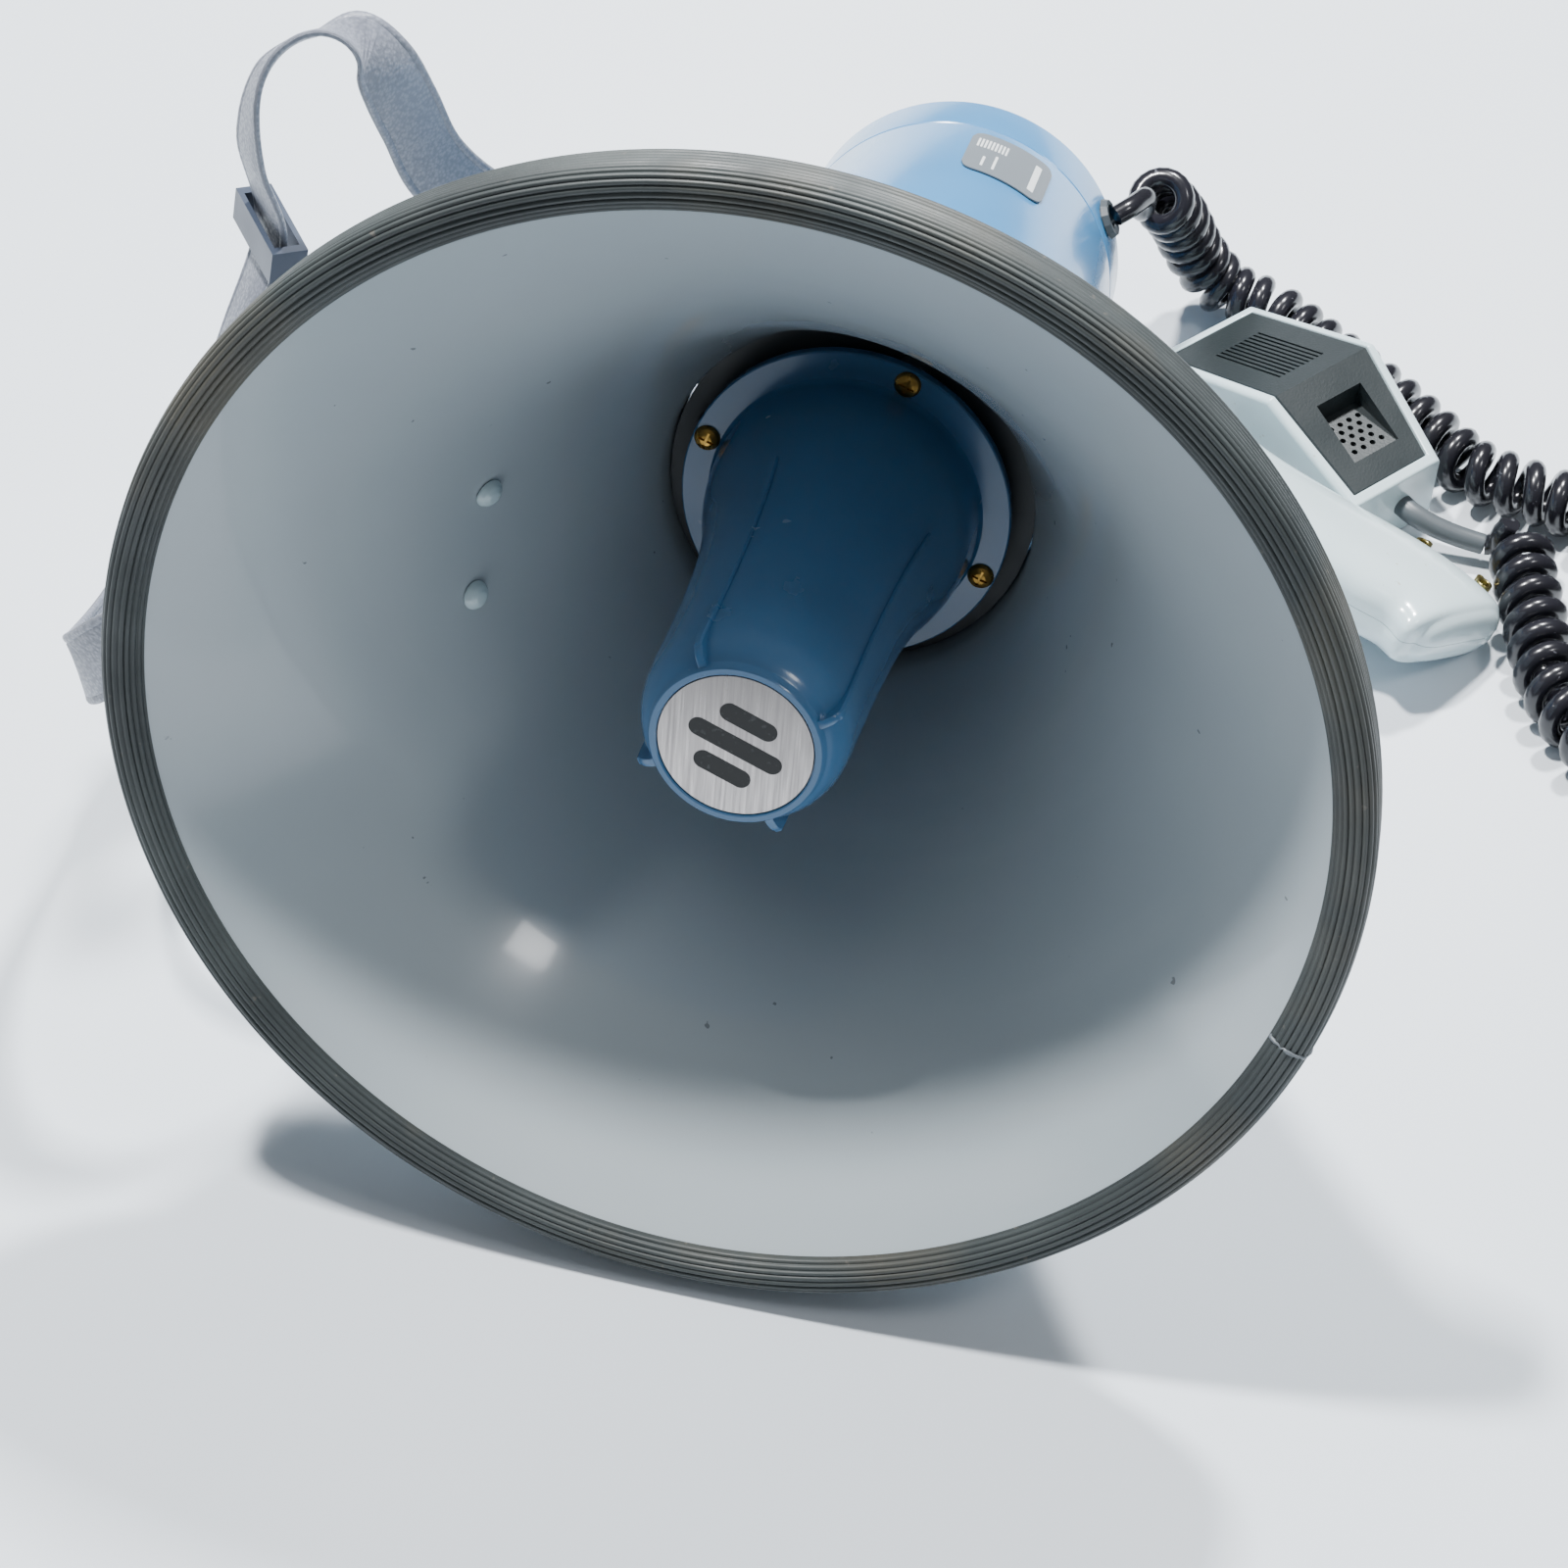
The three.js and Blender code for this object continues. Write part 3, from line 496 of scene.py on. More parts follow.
# ---------- camera, floor and light ----------
def make_camera():
    data = bpy.data.cameras.new("camera")
    data.sensor_width = 36
    data.lens = 70.4
    data.clip_start = 0.05
    camera = bpy.data.objects.new("camera", data)
    camera.location = (0.1236, -0.5728, 0.6902)
    camera.rotation_euler = (math.radians(90 - 50.66), 0, math.radians(13.42))
    bpy.context.scene.collection.objects.link(camera)
    bpy.context.scene.camera = camera


def make_light(name, towards, distance, size, power, colour):
    data = bpy.data.lights.new(name, "AREA")
    data.shape = "RECTANGLE"
    data.size = size
    data.size_y = size * 0.8
    data.energy = power
    data.color = colour
    light = bpy.data.objects.new(name, data)
    direction = Vector(towards).normalized()
    light.location = Vector((0, 0, 0.1)) + direction * distance
    light.rotation_euler = direction.to_track_quat("Z", "Y").to_euler()
    bpy.context.scene.collection.objects.link(light)


def make_studio():
    world = bpy.data.worlds.new("studio")
    world.use_nodes = True
    background = world.node_tree.nodes["Background"]
    background.inputs["Color"].default_value = (0.9, 0.95, 1, 1)
    ways = world.node_tree.nodes.new("ShaderNodeTexCoord")
    split = world.node_tree.nodes.new("ShaderNodeSeparateXYZ")
    fade = world.node_tree.nodes.new("ShaderNodeMapRange")
    fade.inputs["To Min"].default_value = 0.07
    fade.inputs["To Max"].default_value = 0.34
    world.node_tree.links.new(ways.outputs["Generated"], split.inputs["Vector"])
    world.node_tree.links.new(split.outputs["Z"], fade.inputs["Value"])
    world.node_tree.links.new(fade.outputs["Result"], background.inputs["Strength"])
    bpy.context.scene.world = world
    make_light("above_left", (-0.28, 0.11, 0.95), 1.7, 0.13, 60, (1, 1, 1))
    make_light("above_back", (0.1, 0.47, 0.88), 1.7, 0.15, 52, (0.98, 0.99, 1))
    make_light("front_right", (0.6, -0.12, 0.79), 1.8, 0.35, 6, (0.97, 0.98, 1))
    cloth = Nodes("floor_cloth", 0.85, 0, 0, 0.2)
    tone = cloth.range(cloth.noise(3, 3), 0.3, 0.7, 0, 1)
    cloth.colour(cloth.mix(tone, "#e2e8ee", "#d9e1e9"))
    cloth.bump(cloth.noise(5, 2), 4, 0.25)
    half = 1.6
    corners = [(-half, -half, 0), (half, -half, 0), (half, half, 0), (-half, half, 0)]
    mesh = mesh_of("floor", corners, [(0, 1, 2, 3)])
    mesh.materials.append(cloth.material)
    floor = bpy.data.objects.new("floor", mesh)
    floor.location.z = -0.0004
    bpy.context.scene.collection.objects.link(floor)


# ---------- cord ----------
# Middle lines from the gland to the microphone; the curly cord is wound round the two coil routes.
LEAD_ROUTE = [(47.8, 308.3, 73.6), (51.5, 312, 74.6), (54.5, 319, 73.2), (56.7, 327.6, 68.2)]
COIL_ROUTE = [
    (57.5, 331, 66), (64, 344, 47), (69.5, 352, 29), (77, 354.5, 16.5), (86.5, 352, 11.2),
    (98.6, 348, 10.6), (117.9, 332.8, 10.6), (139.4, 315.7, 10.6), (157.2, 300, 10.6),
    (168.5, 290.3, 10.6), (182, 285.4, 10.6), (196, 282, 10.6), (212, 274, 10.6), (232, 262, 10.6),
    (247, 243, 10.6), (253, 221, 10.6), (249, 200, 10.6), (239, 184.6, 10.6), (229, 180.5, 10.6),
    (226, 180.5, 10.6),
]
MIC_COIL_ROUTE = [
    (225.6, 180.5, 10.6), (222.6, 180.5, 10.6), (213, 186, 10.6), (205, 196, 10.6), (198.5, 209, 10.6),
    (195, 223, 10.6), (191.6, 236, 10.6), (188.4, 249, 10.6), (187, 258, 10.6), (187, 266, 10.6),
]
RELIEF_ROUTE = [
    (147.2, 269.6, 12), (149.5, 267.6, 12), (153, 265, 11.6), (160, 263.2, 9.6), (168, 262.4, 7.8),
    (176.2, 262, 6.6),
]


def helix(route):
    """The cable's middle line, wound round a route."""
    middle = even(catmull(route, 24), COIL_PITCH / COIL_STEPS)
    frames = frames_along(middle)
    radius = (COIL_D - CABLE_D) / 2
    path = []
    turn = 0
    for spot, (_, side, up) in zip(middle, frames):
        turn += 2 * math.pi / COIL_STEPS
        path.append(spot + (side * math.cos(turn) + up * math.sin(turn)) * radius)
    return path


def eased(start, end, start_way, end_way, steps=10):
    """A smooth joining line between two points, leaving and arriving along the two ways."""
    reach = (end - start).length * 1.1
    result = []
    for k in range(1, steps):
        t = k / steps
        a = 2 * t ** 3 - 3 * t ** 2 + 1
        b = t ** 3 - 2 * t ** 2 + t
        spot = start * a + start_way * (b * reach) + end * (1 - a)
        result.append(spot + end_way * ((t ** 3 - t ** 2) * reach))
    return result


def make_cords():
    lead = catmull(LEAD_ROUTE[:3], 8)
    route = COIL_ROUTE + MIC_COIL_ROUTE[1:]
    wound = helix(route)
    relief_end = Vector(RELIEF_ROUTE[-1])
    relief_way = Vector((1, -0.02, -0.12)).normalized()
    first = 6
    start_way = (wound[first + 1] - wound[first]).normalized()
    join = eased(lead[-1], wound[first], (lead[-1] - lead[-2]).normalized(), start_way)
    last = len(wound) - 8
    tail_way = (wound[last] - wound[last - 1]).normalized()
    tail = eased(wound[last], relief_end, tail_way, -relief_way, 12)
    split = min(range(len(wound)), key=lambda i: (wound[i] - Vector(MIC_COIL_ROUTE[0])).length)
    main_path = lead + join + wound[first:split + 1]
    mic_path = wound[split:last] + tail + [relief_end]
    for name, path, body, nodes in (
        ("curly_cord", main_path, "megaphone", ("cord_lead", "cord_coil")),
        ("curly_cord_mic_end", mic_path, None, ("cord_coil_mic",)),
    ):
        mesh = sweep(name, path, CABLE_D / 2)
        obj = place(name, mesh, FLOOR_FRAME, CORD, body, 60)
        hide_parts(*nodes)
        if body is None:
            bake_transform(obj)


# ---------- horn and rim ----------
FLARE = math.log(MOUTH_EDGE_R / NECK_R) / (NECK_S - 2)


def flare_radius(s):
    return NECK_R * math.exp(FLARE * max(NECK_S - s, 0))


def flare_station(radius):
    return NECK_S - math.log(radius / NECK_R) / FLARE


def make_horn():
    inner = [(NECK_R, HORN_END_S)]
    steps = 60
    for i in range(steps + 1):
        s = NECK_S + (flare_station(MOUTH_EDGE_R) - NECK_S) * i / steps
        inner.append((flare_radius(s), s))
    outer = []
    for r, s in inner:
        growth = FLARE * r if s < NECK_S else 0
        length = math.hypot(1, growth)
        outer.append((r + HORN_WALL / length, s + HORN_WALL * growth / length))
    mesh = turned("horn", inner + outer[::-1], 224, 0)
    horn = place("horn", mesh, HORN_FRAME, ENAMEL, "megaphone", 50)
    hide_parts("horn_bell")


def rim_outline():
    """Front of the rubber rim with its ridges, from the inner lip over to the outside."""
    lip = 139.4
    spine = catmull([(lip, flare_station(lip) - 1.2), (140.3, 2.6), (142.4, 0.9), (145, 0.25),
                     (147.6, 0.5), (149.2, 2.2), (149.75, 5), (149.75, 9), (149.75, 12.6)], 16)
    ridges = 14
    total = path_length(spine)
    travelled = 0
    front = []
    for i, spot in enumerate(spine):
        if i:
            travelled += (spot - spine[i - 1]).length
        ahead = spine[min(i + 1, len(spine) - 1)] - spine[max(i - 1, 0)]
        inward = Vector((ahead.y, -ahead.x)).normalized()
        wave = abs(math.sin(math.pi * ridges * travelled / total))
        depth = 0.6 * (1 - wave ** 0.6)
        towards = Vector((144.5, 8)) - spot
        if inward.dot(towards) < 0:
            inward = -inward
        front.append(tuple(spot + inward * depth))
    back = [(149, RIM_DEPTH), (147, RIM_DEPTH), (146.4, 6.5), (144.5, 3), (143.9, 1.2),
            (142.6, flare_station(142.6) - 0.45), (lip, flare_station(lip) - 0.4)]
    return front + back


def make_rim():
    mesh = turned("rim", rim_outline(), 256, 0)
    rim = place("rim", mesh, HORN_FRAME, RUBBER, "megaphone", 70)
    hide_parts("rim_trim")
    make_rim_joint()


def make_rim_joint():
    """The butt joint of the rubber, with glue squeezed out of it."""
    turn = math.radians(177)
    points = []
    for k, (r, s) in enumerate(rim_outline()[::4][:34]):
        angle = turn + 0.004 * noise.noise(Vector((k * 0.7, 0, 3)))
        grown = Vector((r, s)) + (Vector((r, s)) - Vector((144.5, 8))).normalized() * 0.05
        points.append(Vector((grown.x * math.sin(angle), grown.y, grown.x * math.cos(angle))))
    lumpy = lambda t: 0.42 + 0.2 * math.sin(t * 37) * math.sin(t * 11)
    mesh = sweep("rim_glue", even(points, 0.7), lumpy, 8)
    glue = place("rim_glue", mesh, HORN_FRAME, LABEL, "megaphone", 60)


# ---------- reflector ----------
def reflector_outline():
    face = REFLECTOR_FACE_S
    side = catmull([(21.5, face + 2.2), (23.4, face + 4.6), (25.2, face + 9), (26, face + 16),
                    (26.6, 64), (28.2, 92), (31.2, 114), (35.4, 132), (36.8, FLANGE_S - 4)], 8)
    outline = [(0, face + 1.4), (BADGE_R + 0.3, face + 1.4), (BADGE_R + 0.3, face + 0.3),
               (BADGE_R + 0.6, face), (20.8, face), (21.2, face + 0.4)]
    outline += [tuple(p) for p in side]
    outline += [(37.6, FLANGE_S - 3), (44.6, FLANGE_S - 3), (45, FLANGE_S - 2.6), (45, FLANGE_S),
                (36.4, FLANGE_S), (33, 133), (28.8, 115), (25.8, 92), (24.2, 64),
                (23.2, face + 16), (18, face + 5.6), (0, face + 4)]
    return outline


def reflector_rib(turn):
    """A thin rib that runs down the side and curves in to the front ring."""
    face = REFLECTOR_FACE_S
    crest = catmull([(20.2, face + 0.9), (23.2, face + 1.4), (25.9, face + 3.2), (27, face + 8),
                     (27.3, 60), (28.9, 90), (31.9, 114)], 10)
    rings = []
    for r, s in crest:
        foot = Vector((max(r - 3.4, 19.5), s + 1.5))
        half = 1.05
        rings.append([(-half, s, r - 0.5), (-half * 0.6, s, r), (half * 0.6, s, r),
                      (half, s, r - 0.5), (half, foot.y, foot.x), (-half, foot.y, foot.x)])
    return moved(loft("rib", rings), Matrix.Rotation(turn, 4, "Y"))


def make_reflector():
    body = turned("reflector_body", reflector_outline(), 160, 0)
    ribs = [reflector_rib(math.radians(45 + 90 * k)) for k in range(4)]
    mesh = merged("reflector_cone", [body] + ribs)
    cone = place("reflector_cone", mesh, HORN_FRAME, BLUE, "megaphone", 40)
    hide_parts("reflector")
    face = REFLECTOR_FACE_S
    badge = turned("badge", [(0, face + 0.4), (BADGE_R, face + 0.4), (BADGE_R, face + 1.1),
                             (0, face + 1.1)], 96, 0.15)
    badge = place("badge", badge, HORN_FRAME, ALUMINIUM, "megaphone")
    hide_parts("reflector_badge")
    make_emblem(face + 0.33)


def make_emblem(s):
    """A plain mark on the badge: three thick bars with round ends, the middle one longest."""
    bars = []
    for across, reach in ((-7.6, 7.4), (0, 12.2), (7.6, 7.4)):
        half = 2.5
        outline = []
        for k in range(24):
            angle = 2 * math.pi * (k + 0.5) / 24
            end = math.copysign(reach - half, math.cos(angle))
            outline.append((end + half * math.cos(angle), across + half * math.sin(angle)))
        bars.append(loft("bar", [[(x, s + back, z) for x, z in outline] for back in (0, 0.06)]))
    mesh = moved(merged("badge_emblem", bars), Matrix.Rotation(math.radians(-88), 4, "Y"))
    emblem = place("badge_emblem", mesh, HORN_FRAME, BLACK_INK, "megaphone")


def cross_slot(size, depth):
    return [box_mesh("slot", (-size, -depth, -size * 0.16), (size, depth, size * 0.16)),
            box_mesh("slot", (-size * 0.16, -depth, -size), (size * 0.16, depth, size))]


def screw_head(name, radius, height):
    """A domed head with a cross slot, facing -Y, with its seat at y = 0."""
    outline = [(0, -height), (radius * 0.45, -height * 0.94), (radius * 0.85, -height * 0.6),
               (radius, -height * 0.1), (radius, 0), (radius * 0.45, 0), (radius * 0.45, 2), (0, 2)]
    slot = [moved(m, Matrix.Translation((0, -height, 0)))
            for m in cross_slot(radius * 0.6, height * 0.45)]
    return carve(turned(name, outline, 32, 0.2), slot)


def make_reflector_screws():
    for number in range(4):
        turn = Matrix.Rotation(math.pi / 2 * number, 4, "Y")
        seat = Matrix.Translation((0, FLANGE_S - 3.1, POST_R))
        mesh = moved(screw_head("reflector_screw", 3.6, 2.1), turn @ seat)
        screw = place(f"reflector_screw_head_{number + 1}", mesh, HORN_FRAME, BRASS, "megaphone")
        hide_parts(f"reflector_screw_{number + 1}")


# ---------- housings ----------
def make_rear_body():
    inner = BODY_R - SHELL
    outline = [(inner, BODY_FRONT_S), (BODY_R, BODY_FRONT_S), (BODY_R, SEAM_S - 0.3),
               (inner, SEAM_S - 0.3)]
    body = place("rear_housing", turned("rear_housing", outline, 192, 0.5), HORN_FRAME, SKY, "megaphone")
    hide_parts("rear_body")
    edge = 2.6
    rounded = [(inner, SEAM_S), (BODY_R - 0.5, SEAM_S), (BODY_R, SEAM_S + 0.5)]
    for k in range(9):
        angle = math.pi / 2 * k / 8
        rounded.append((BODY_R - edge + edge * math.cos(angle), LENGTH - edge + edge * math.sin(angle)))
    rounded += [(LID_R + 0.5, LENGTH - 0.1), (LID_R + 0.5, LENGTH - SHELL), (inner, LENGTH - SHELL)]
    cap = place("rear_end", turned("rear_end", rounded, 192, 0), HORN_FRAME, SKY, "megaphone")
    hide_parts("rear_cap")


def make_lid():
    outline = [(0, 321.4), (32.6, 321.4), (32.6, 314), (34.2, 314), (34.2, 321.4), (LID_R, 321.4),
               (LID_R, LENGTH), (24, LENGTH), (23, LENGTH - 0.5), (0, LENGTH - 0.5)]
    plate = turned("lid", outline, 128, 0.4)
    bar = box_mesh("bar", (-22, LENGTH - 1, -4), (22, LENGTH + 4.3, 4), 1.4)
    grooves = [box_mesh("groove", (x - 0.5, LENGTH + 3.6, -5), (x + 0.5, LENGTH + 6, 5))
               for x in range(-16, 17, 4)]
    mesh = merged("lid", [plate, carve(bar, grooves)])
    lid = place("battery_cover", mesh, HORN_FRAME, SKY, "battery_lid")
    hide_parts("battery_lid")


def make_knob():
    rings = []
    count = 72
    back = LENGTH + 0.3
    for r, s in ((5.9, back), (6.35, back + 0.4), (6.1, back + 6.6), (5.4, back + 7.6), (4.4, back + 8)):
        ring = []
        for k in range(count):
            flute = 0.22 * (1 - abs(math.sin(9 * 2 * math.pi * k / count)))
            wide = r - (flute if s < back + 7 else 0)
            angle = 2 * math.pi * k / count
            ring.append((wide * math.sin(angle), s, wide * math.cos(angle)))
        rings.append(ring)
    mesh = loft("knob", rings)
    pointer = box_mesh("pointer", (-0.4, back + 7.7, 0.6), (0.4, back + 8.15, 4.6))
    shift = Matrix.Translation((0, 0, KNOB_RING))
    knob = place("volume_dial", moved(mesh, shift), HORN_FRAME, DARK, "volume_knob")
    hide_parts("volume_knob")
    line = place("volume_pointer", moved(pointer, shift), HORN_FRAME, BARS, "volume_knob")


def curved_plate(name, radius, thickness, s_from, s_to, a_from, a_to, corner):
    """A thin rounded rectangle bent round the body, a_from to a_to degrees from +X."""
    rings = []
    count = 28
    reach = math.radians(a_to - a_from) * radius
    for k in range(count + 1):
        across = reach * k / count
        edge = min(across, reach - across)
        short = corner - math.sqrt(max(corner ** 2 - (corner - edge) ** 2, 0)) if edge < corner else 0
        angle = math.radians(a_from) + across / radius
        low, high = s_from + short, s_to - short
        rings.append([(r * math.cos(angle), s, r * math.sin(angle))
                      for r, s in ((radius, low), (radius, high), (radius + thickness, high),
                                   (radius + thickness, low))])
    return loft(name, rings)


def make_label():
    base = BODY_R + 0.35
    plate = curved_plate("label", base, 0.4, 271, 299, -15, 15, 4)
    plate = place("type_plate", plate, HORN_FRAME, LABEL, "megaphone")
    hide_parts("body_label")
    bars = [curved_plate("bar", base + 0.36, 0.08, 275, 294, -11, -8.6, 0.3)]
    for k in range(9):
        middle = 2.2 + k * 1.25
        bars.append(curved_plate("bar", base + 0.36, 0.08, 288.4, 294.6, middle - 0.36,
                                 middle + 0.36, 0.1))
    bars.append(curved_plate("bar", base + 0.36, 0.08, 275, 285, 4, 4.9, 0.2))
    bars.append(curved_plate("bar", base + 0.36, 0.08, 275, 282, 8, 8.9, 0.2))
    marks = place("type_plate_bars", merged("bars", bars), HORN_FRAME, BARS, "megaphone")


# ---------- grip ----------
# Each section: front and rear edges (station, distance from the axis) and half thickness.
GRIP_SECTIONS = [
    (256, 44, 306, 44, 19), (255, 56, 307, 57, 19), (251, 70, 309, 72, 15.5), (247, 82, 303, 86, 14),
    (244, 92, 290, 96, 13.5), (240, 106, 281, 110, 13), (234, 126, 277, 136, 12.6),
    (230, 146, 275, 164, 12.2), (229, 157, 270, 180, 11.8), (224, 163, 264, 191, 10.8),
    (227, 168, 259, 193, 8.6),
]


GRIP_SCREWS = [(-15.3, 276, -74), (-12.6, 252, -150)]
PARTING = 0.08  # from the middle plane to each half of the grip


def grip_half(side):
    """One half shell: rings of points from edge to edge over one side, closed flat at the middle."""
    sections = catmull(GRIP_SECTIONS, 7)
    tip = sections[-1]
    reach = Vector((tip[2] - tip[0], tip[3] - tip[1])).normalized()
    outward = Vector((-reach.y, reach.x))
    for inset, beyond in ((0.8, 0.9), (2.4, 1.9), (5, 2.6), (7.5, 2.9)):
        front = Vector(tip[0:2]) + reach * inset + outward * beyond
        rear = Vector(tip[2:4]) - reach * inset + outward * beyond
        sections.append(Vector((*front, *rear, tip[4] - inset * 0.8)))
    rings = []
    count = 22
    for front_s, front_z, rear_s, rear_z, half in sections:
        middle = ((front_s + rear_s) / 2, (front_z + rear_z) / 2)
        reach = ((rear_s - front_s) / 2, (rear_z - front_z) / 2)
        ring = []
        for k in range(count + 1):
            angle = math.pi * k / count
            along = math.copysign(abs(math.cos(angle)) ** 0.7, math.cos(angle))
            across = PARTING + (half - PARTING) * math.sin(angle) ** 0.7
            lip = 0.35 if k in (0, count) else 0
            along *= 1 - lip / math.hypot(*reach)
            ring.append((side * across, middle[0] + reach[0] * along, -(middle[1] + reach[1] * along)))
        rings.append(ring)
    return loft("grip", rings)


def make_grip():
    for name, side, node in (("grip_half_left", -1, "grip_left_shell"),
                             ("grip_half_right", 1, "grip_right_shell")):
        half = place(name, grip_half(side), HORN_FRAME, WHITE, "megaphone", 50)
        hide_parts(node)
    to_left = Matrix.Rotation(-math.pi / 2, 4, "Z")
    for number, seat in enumerate(GRIP_SCREWS, 1):
        to_side = Matrix.Translation(seat) @ to_left
        screw = place(f"grip_screw_head_{number}", moved(screw_head("screw", 3, 1.2), to_side),
                      HORN_FRAME, STEEL, "megaphone")
        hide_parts(f"grip_screw_{number}")


def make_bail():
    path = catmull([(7, 277.4, -166), (0.6, 278, -166), (-1.8, 277.9, -166.9), (-2.4, 277.4, -169.4),
                    (-2.4, 274.2, -180.8), (-1.8, 273.4, -183.2), (0.6, 273.2, -184), (7, 272.4, -184)], 8)
    bail = place("bail_wire", sweep("bail_wire", path, 1.3, 16), HORN_FRAME, ZINC, "wrist_bail", 60)
    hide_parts("wrist_bail")
    eyelets = []
    sideways = Matrix.Rotation(math.pi / 2, 4, "Z")
    for s, z in ((277.6, -164.4), (271.8, -185.4)):
        ring = turned("eyelet", [(1.5, -1.6), (2.6, -1.6), (2.6, 1.6), (1.5, 1.6)], 32, 0.4)
        eyelets.append(moved(ring, Matrix.Translation((5.6, s - 1.6, z)) @ sideways))
    eyelet = place("bail_eyelets", merged("eyelets", eyelets), HORN_FRAME, ZINC, "megaphone")


# ---------- strap ----------
# Middle of the strap: from the horn bracket, out and back, up a high loop, to the rear lug.
STRAP_ROUTE = [
    (-81.4, 89.8, 126.9), (-86.4, 81.7, 130), (-91.3, 73.5, 133.2), (-106, 56, 140), (-130, 40, 140),
    (-156, 33, 126), (-175, 38, 104), (-186, 54, 86), (-190, 78, 77), (-189, 102, 80), (-182, 126, 96),
    (-172, 146, 122), (-162, 158, 150), (-160, 151, 183), (-155, 150, 205), (-148, 153, 216),
    (-139, 157, 220), (-131, 161, 216), (-126, 165, 204), (-124, 172, 186), (-121, 181, 161),
    (-111, 197, 135), (-88, 218, 110), (-66, 237, 95), (-51.8, 251, 86.8), (-49.6, 264.4, 80.9),
    (-49.1, 277.7, 76.5), (-49.1, 291, 72.2),
]
# Direction across the strap at each of those points.
STRAP_ACROSS = [
    (0.1, 0.3, 0.95), (0.1, 0.3, 0.95), (0.1, 0.3, 0.95), (0.1, 0.26, 0.95), (0.1, 0.15, 0.98),
    (0.1, 0, 0.99), (0.05, -0.1, 0.99), (0, -0.1, 0.99), (0.1, -0.2, 0.97), (0.3, -0.4, 0.86),
    (0.5, -0.6, 0.6), (0.6, -0.7, 0.35), (0.66, -0.7, 0.25), (0.6, -0.76, 0.2), (0.4, -0.86, 0.3),
    (0.15, -0.88, 0.45), (-0.05, -0.84, 0.53), (-0.2, -0.84, 0.42), (-0.36, -0.84, 0.2),
    (-0.46, -0.8, -0.1), (-0.5, -0.74, -0.36), (-0.5, -0.66, -0.56), (-0.45, -0.55, -0.7),
    (-0.4, -0.42, -0.82), (-0.36, -0.32, -0.88), (-0.33, -0.29, -0.9), (-0.33, -0.29, -0.9),
    (-0.33, -0.29, -0.9),
]
STRAP_WIDTH = 20
# Half of the section: across and out of the strap, with a welded line near each edge.
STRAP_SECTION = [(-10, 0), (-9.75, 0.6), (-9.2, 0.9), (-8.2, 0.9), (-7.8, 0.62), (-7.4, 0.9),
                 (7.4, 0.9), (7.8, 0.62), (8.2, 0.9), (9.2, 0.9), (9.75, 0.6), (10, 0)]


def strap_frames():
    """Points along the strap's middle, each with the ways across the strap and out of it."""
    per_span = 8
    middle = catmull(STRAP_ROUTE, per_span)
    across = catmull(STRAP_ACROSS, per_span)
    result = []
    for i, spot in enumerate(middle):
        along = (middle[min(i + 1, len(middle) - 1)] - middle[max(i - 1, 0)]).normalized()
        wide = (across[i] - along * across[i].dot(along)).normalized()
        result.append((spot, wide, along.cross(wide)))
    return result


def make_strap():
    section = STRAP_SECTION + [(u, -v) for u, v in STRAP_SECTION[-2:0:-1]]
    rings = []
    lengths = [0]
    frames = strap_frames()
    for i, (spot, wide, out) in enumerate(frames):
        rings.append([spot + wide * u + out * v for u, v in section])
        if i:
            lengths.append(lengths[-1] + (spot - frames[i - 1][0]).length)
    mesh = bpy.data.meshes.new("strap")
    points, faces = skin(rings)
    mesh.from_pydata([tuple(p) for p in points], [], faces)
    layer = mesh.uv_layers.new(name="UVMap")
    count = len(section)
    for polygon in mesh.polygons:
        for loop in polygon.loop_indices:
            vert = mesh.loops[loop].vertex_index
            u = section[vert % count][0]
            side = 40 if section[vert % count][1] < 0 else 0
            layer.data[loop].uv = ((u + side) / STRAP_WIDTH, lengths[vert // count] / STRAP_WIDTH)
    strap = place("strap", mesh, FLOOR_FRAME, VINYL, "megaphone", 40)
    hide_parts("shoulder_strap")


# ---------- hand microphone ----------
# Sections along the microphone: x towards the cord, half width and top height.
MIC_SECTIONS = [(-52, 21.6, 20), (0, 22.2, 42), (38, 18.3, 24)]
# Rise of the top per millimetre of x: before the ridge, at it and after it.
MIC_SLOPES = (22 / 52, 0, -18 / 38)


def mic_solid(inset, drop, bottom, ends, corner):
    """The microphone's shape, narrowed by inset, lowered by drop and shortened by ends."""
    rings = []
    for i, (x, half, top) in enumerate(MIC_SECTIONS):
        wide = half - inset
        shift = (ends, 0, -ends)[i]
        at = x + shift
        z = top - drop + shift * MIC_SLOPES[i]
        c = corner
        rings.append([(at, -wide, bottom), (at, wide, bottom), (at, wide, z - c * 0.6),
                      (at, wide - c * 0.6, z), (at, -wide + c * 0.6, z), (at, -wide, z - c * 0.6)])
    return loft("mic", rings)


def make_mic_shell():
    outside = mic_solid(0, 0, 0, 0, 2)
    pocket = mic_solid(3.2, -8, 8, 3.2, 1)
    floor_cut = mic_solid(0, 1.5, -1, -4, 0.5)
    recess = carve(pocket, [floor_cut])
    hollow = box_mesh("hollow", (-48, -15.8, -1), (34, 15.8, 2.2))
    slot = box_mesh("talk", (-9.5, 14, 12), (21.5, 26, 22))
    window = mic_solid(6, -8, 8, 6, 1)
    shell = carve(outside, [recess, window, hollow, slot])
    shell = place("mic_case", shell, MIC_FRAME, WHITE, "hand_microphone", 30)
    add_bevel(shell, 1.1, 4, 32)
    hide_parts("mic_shell")


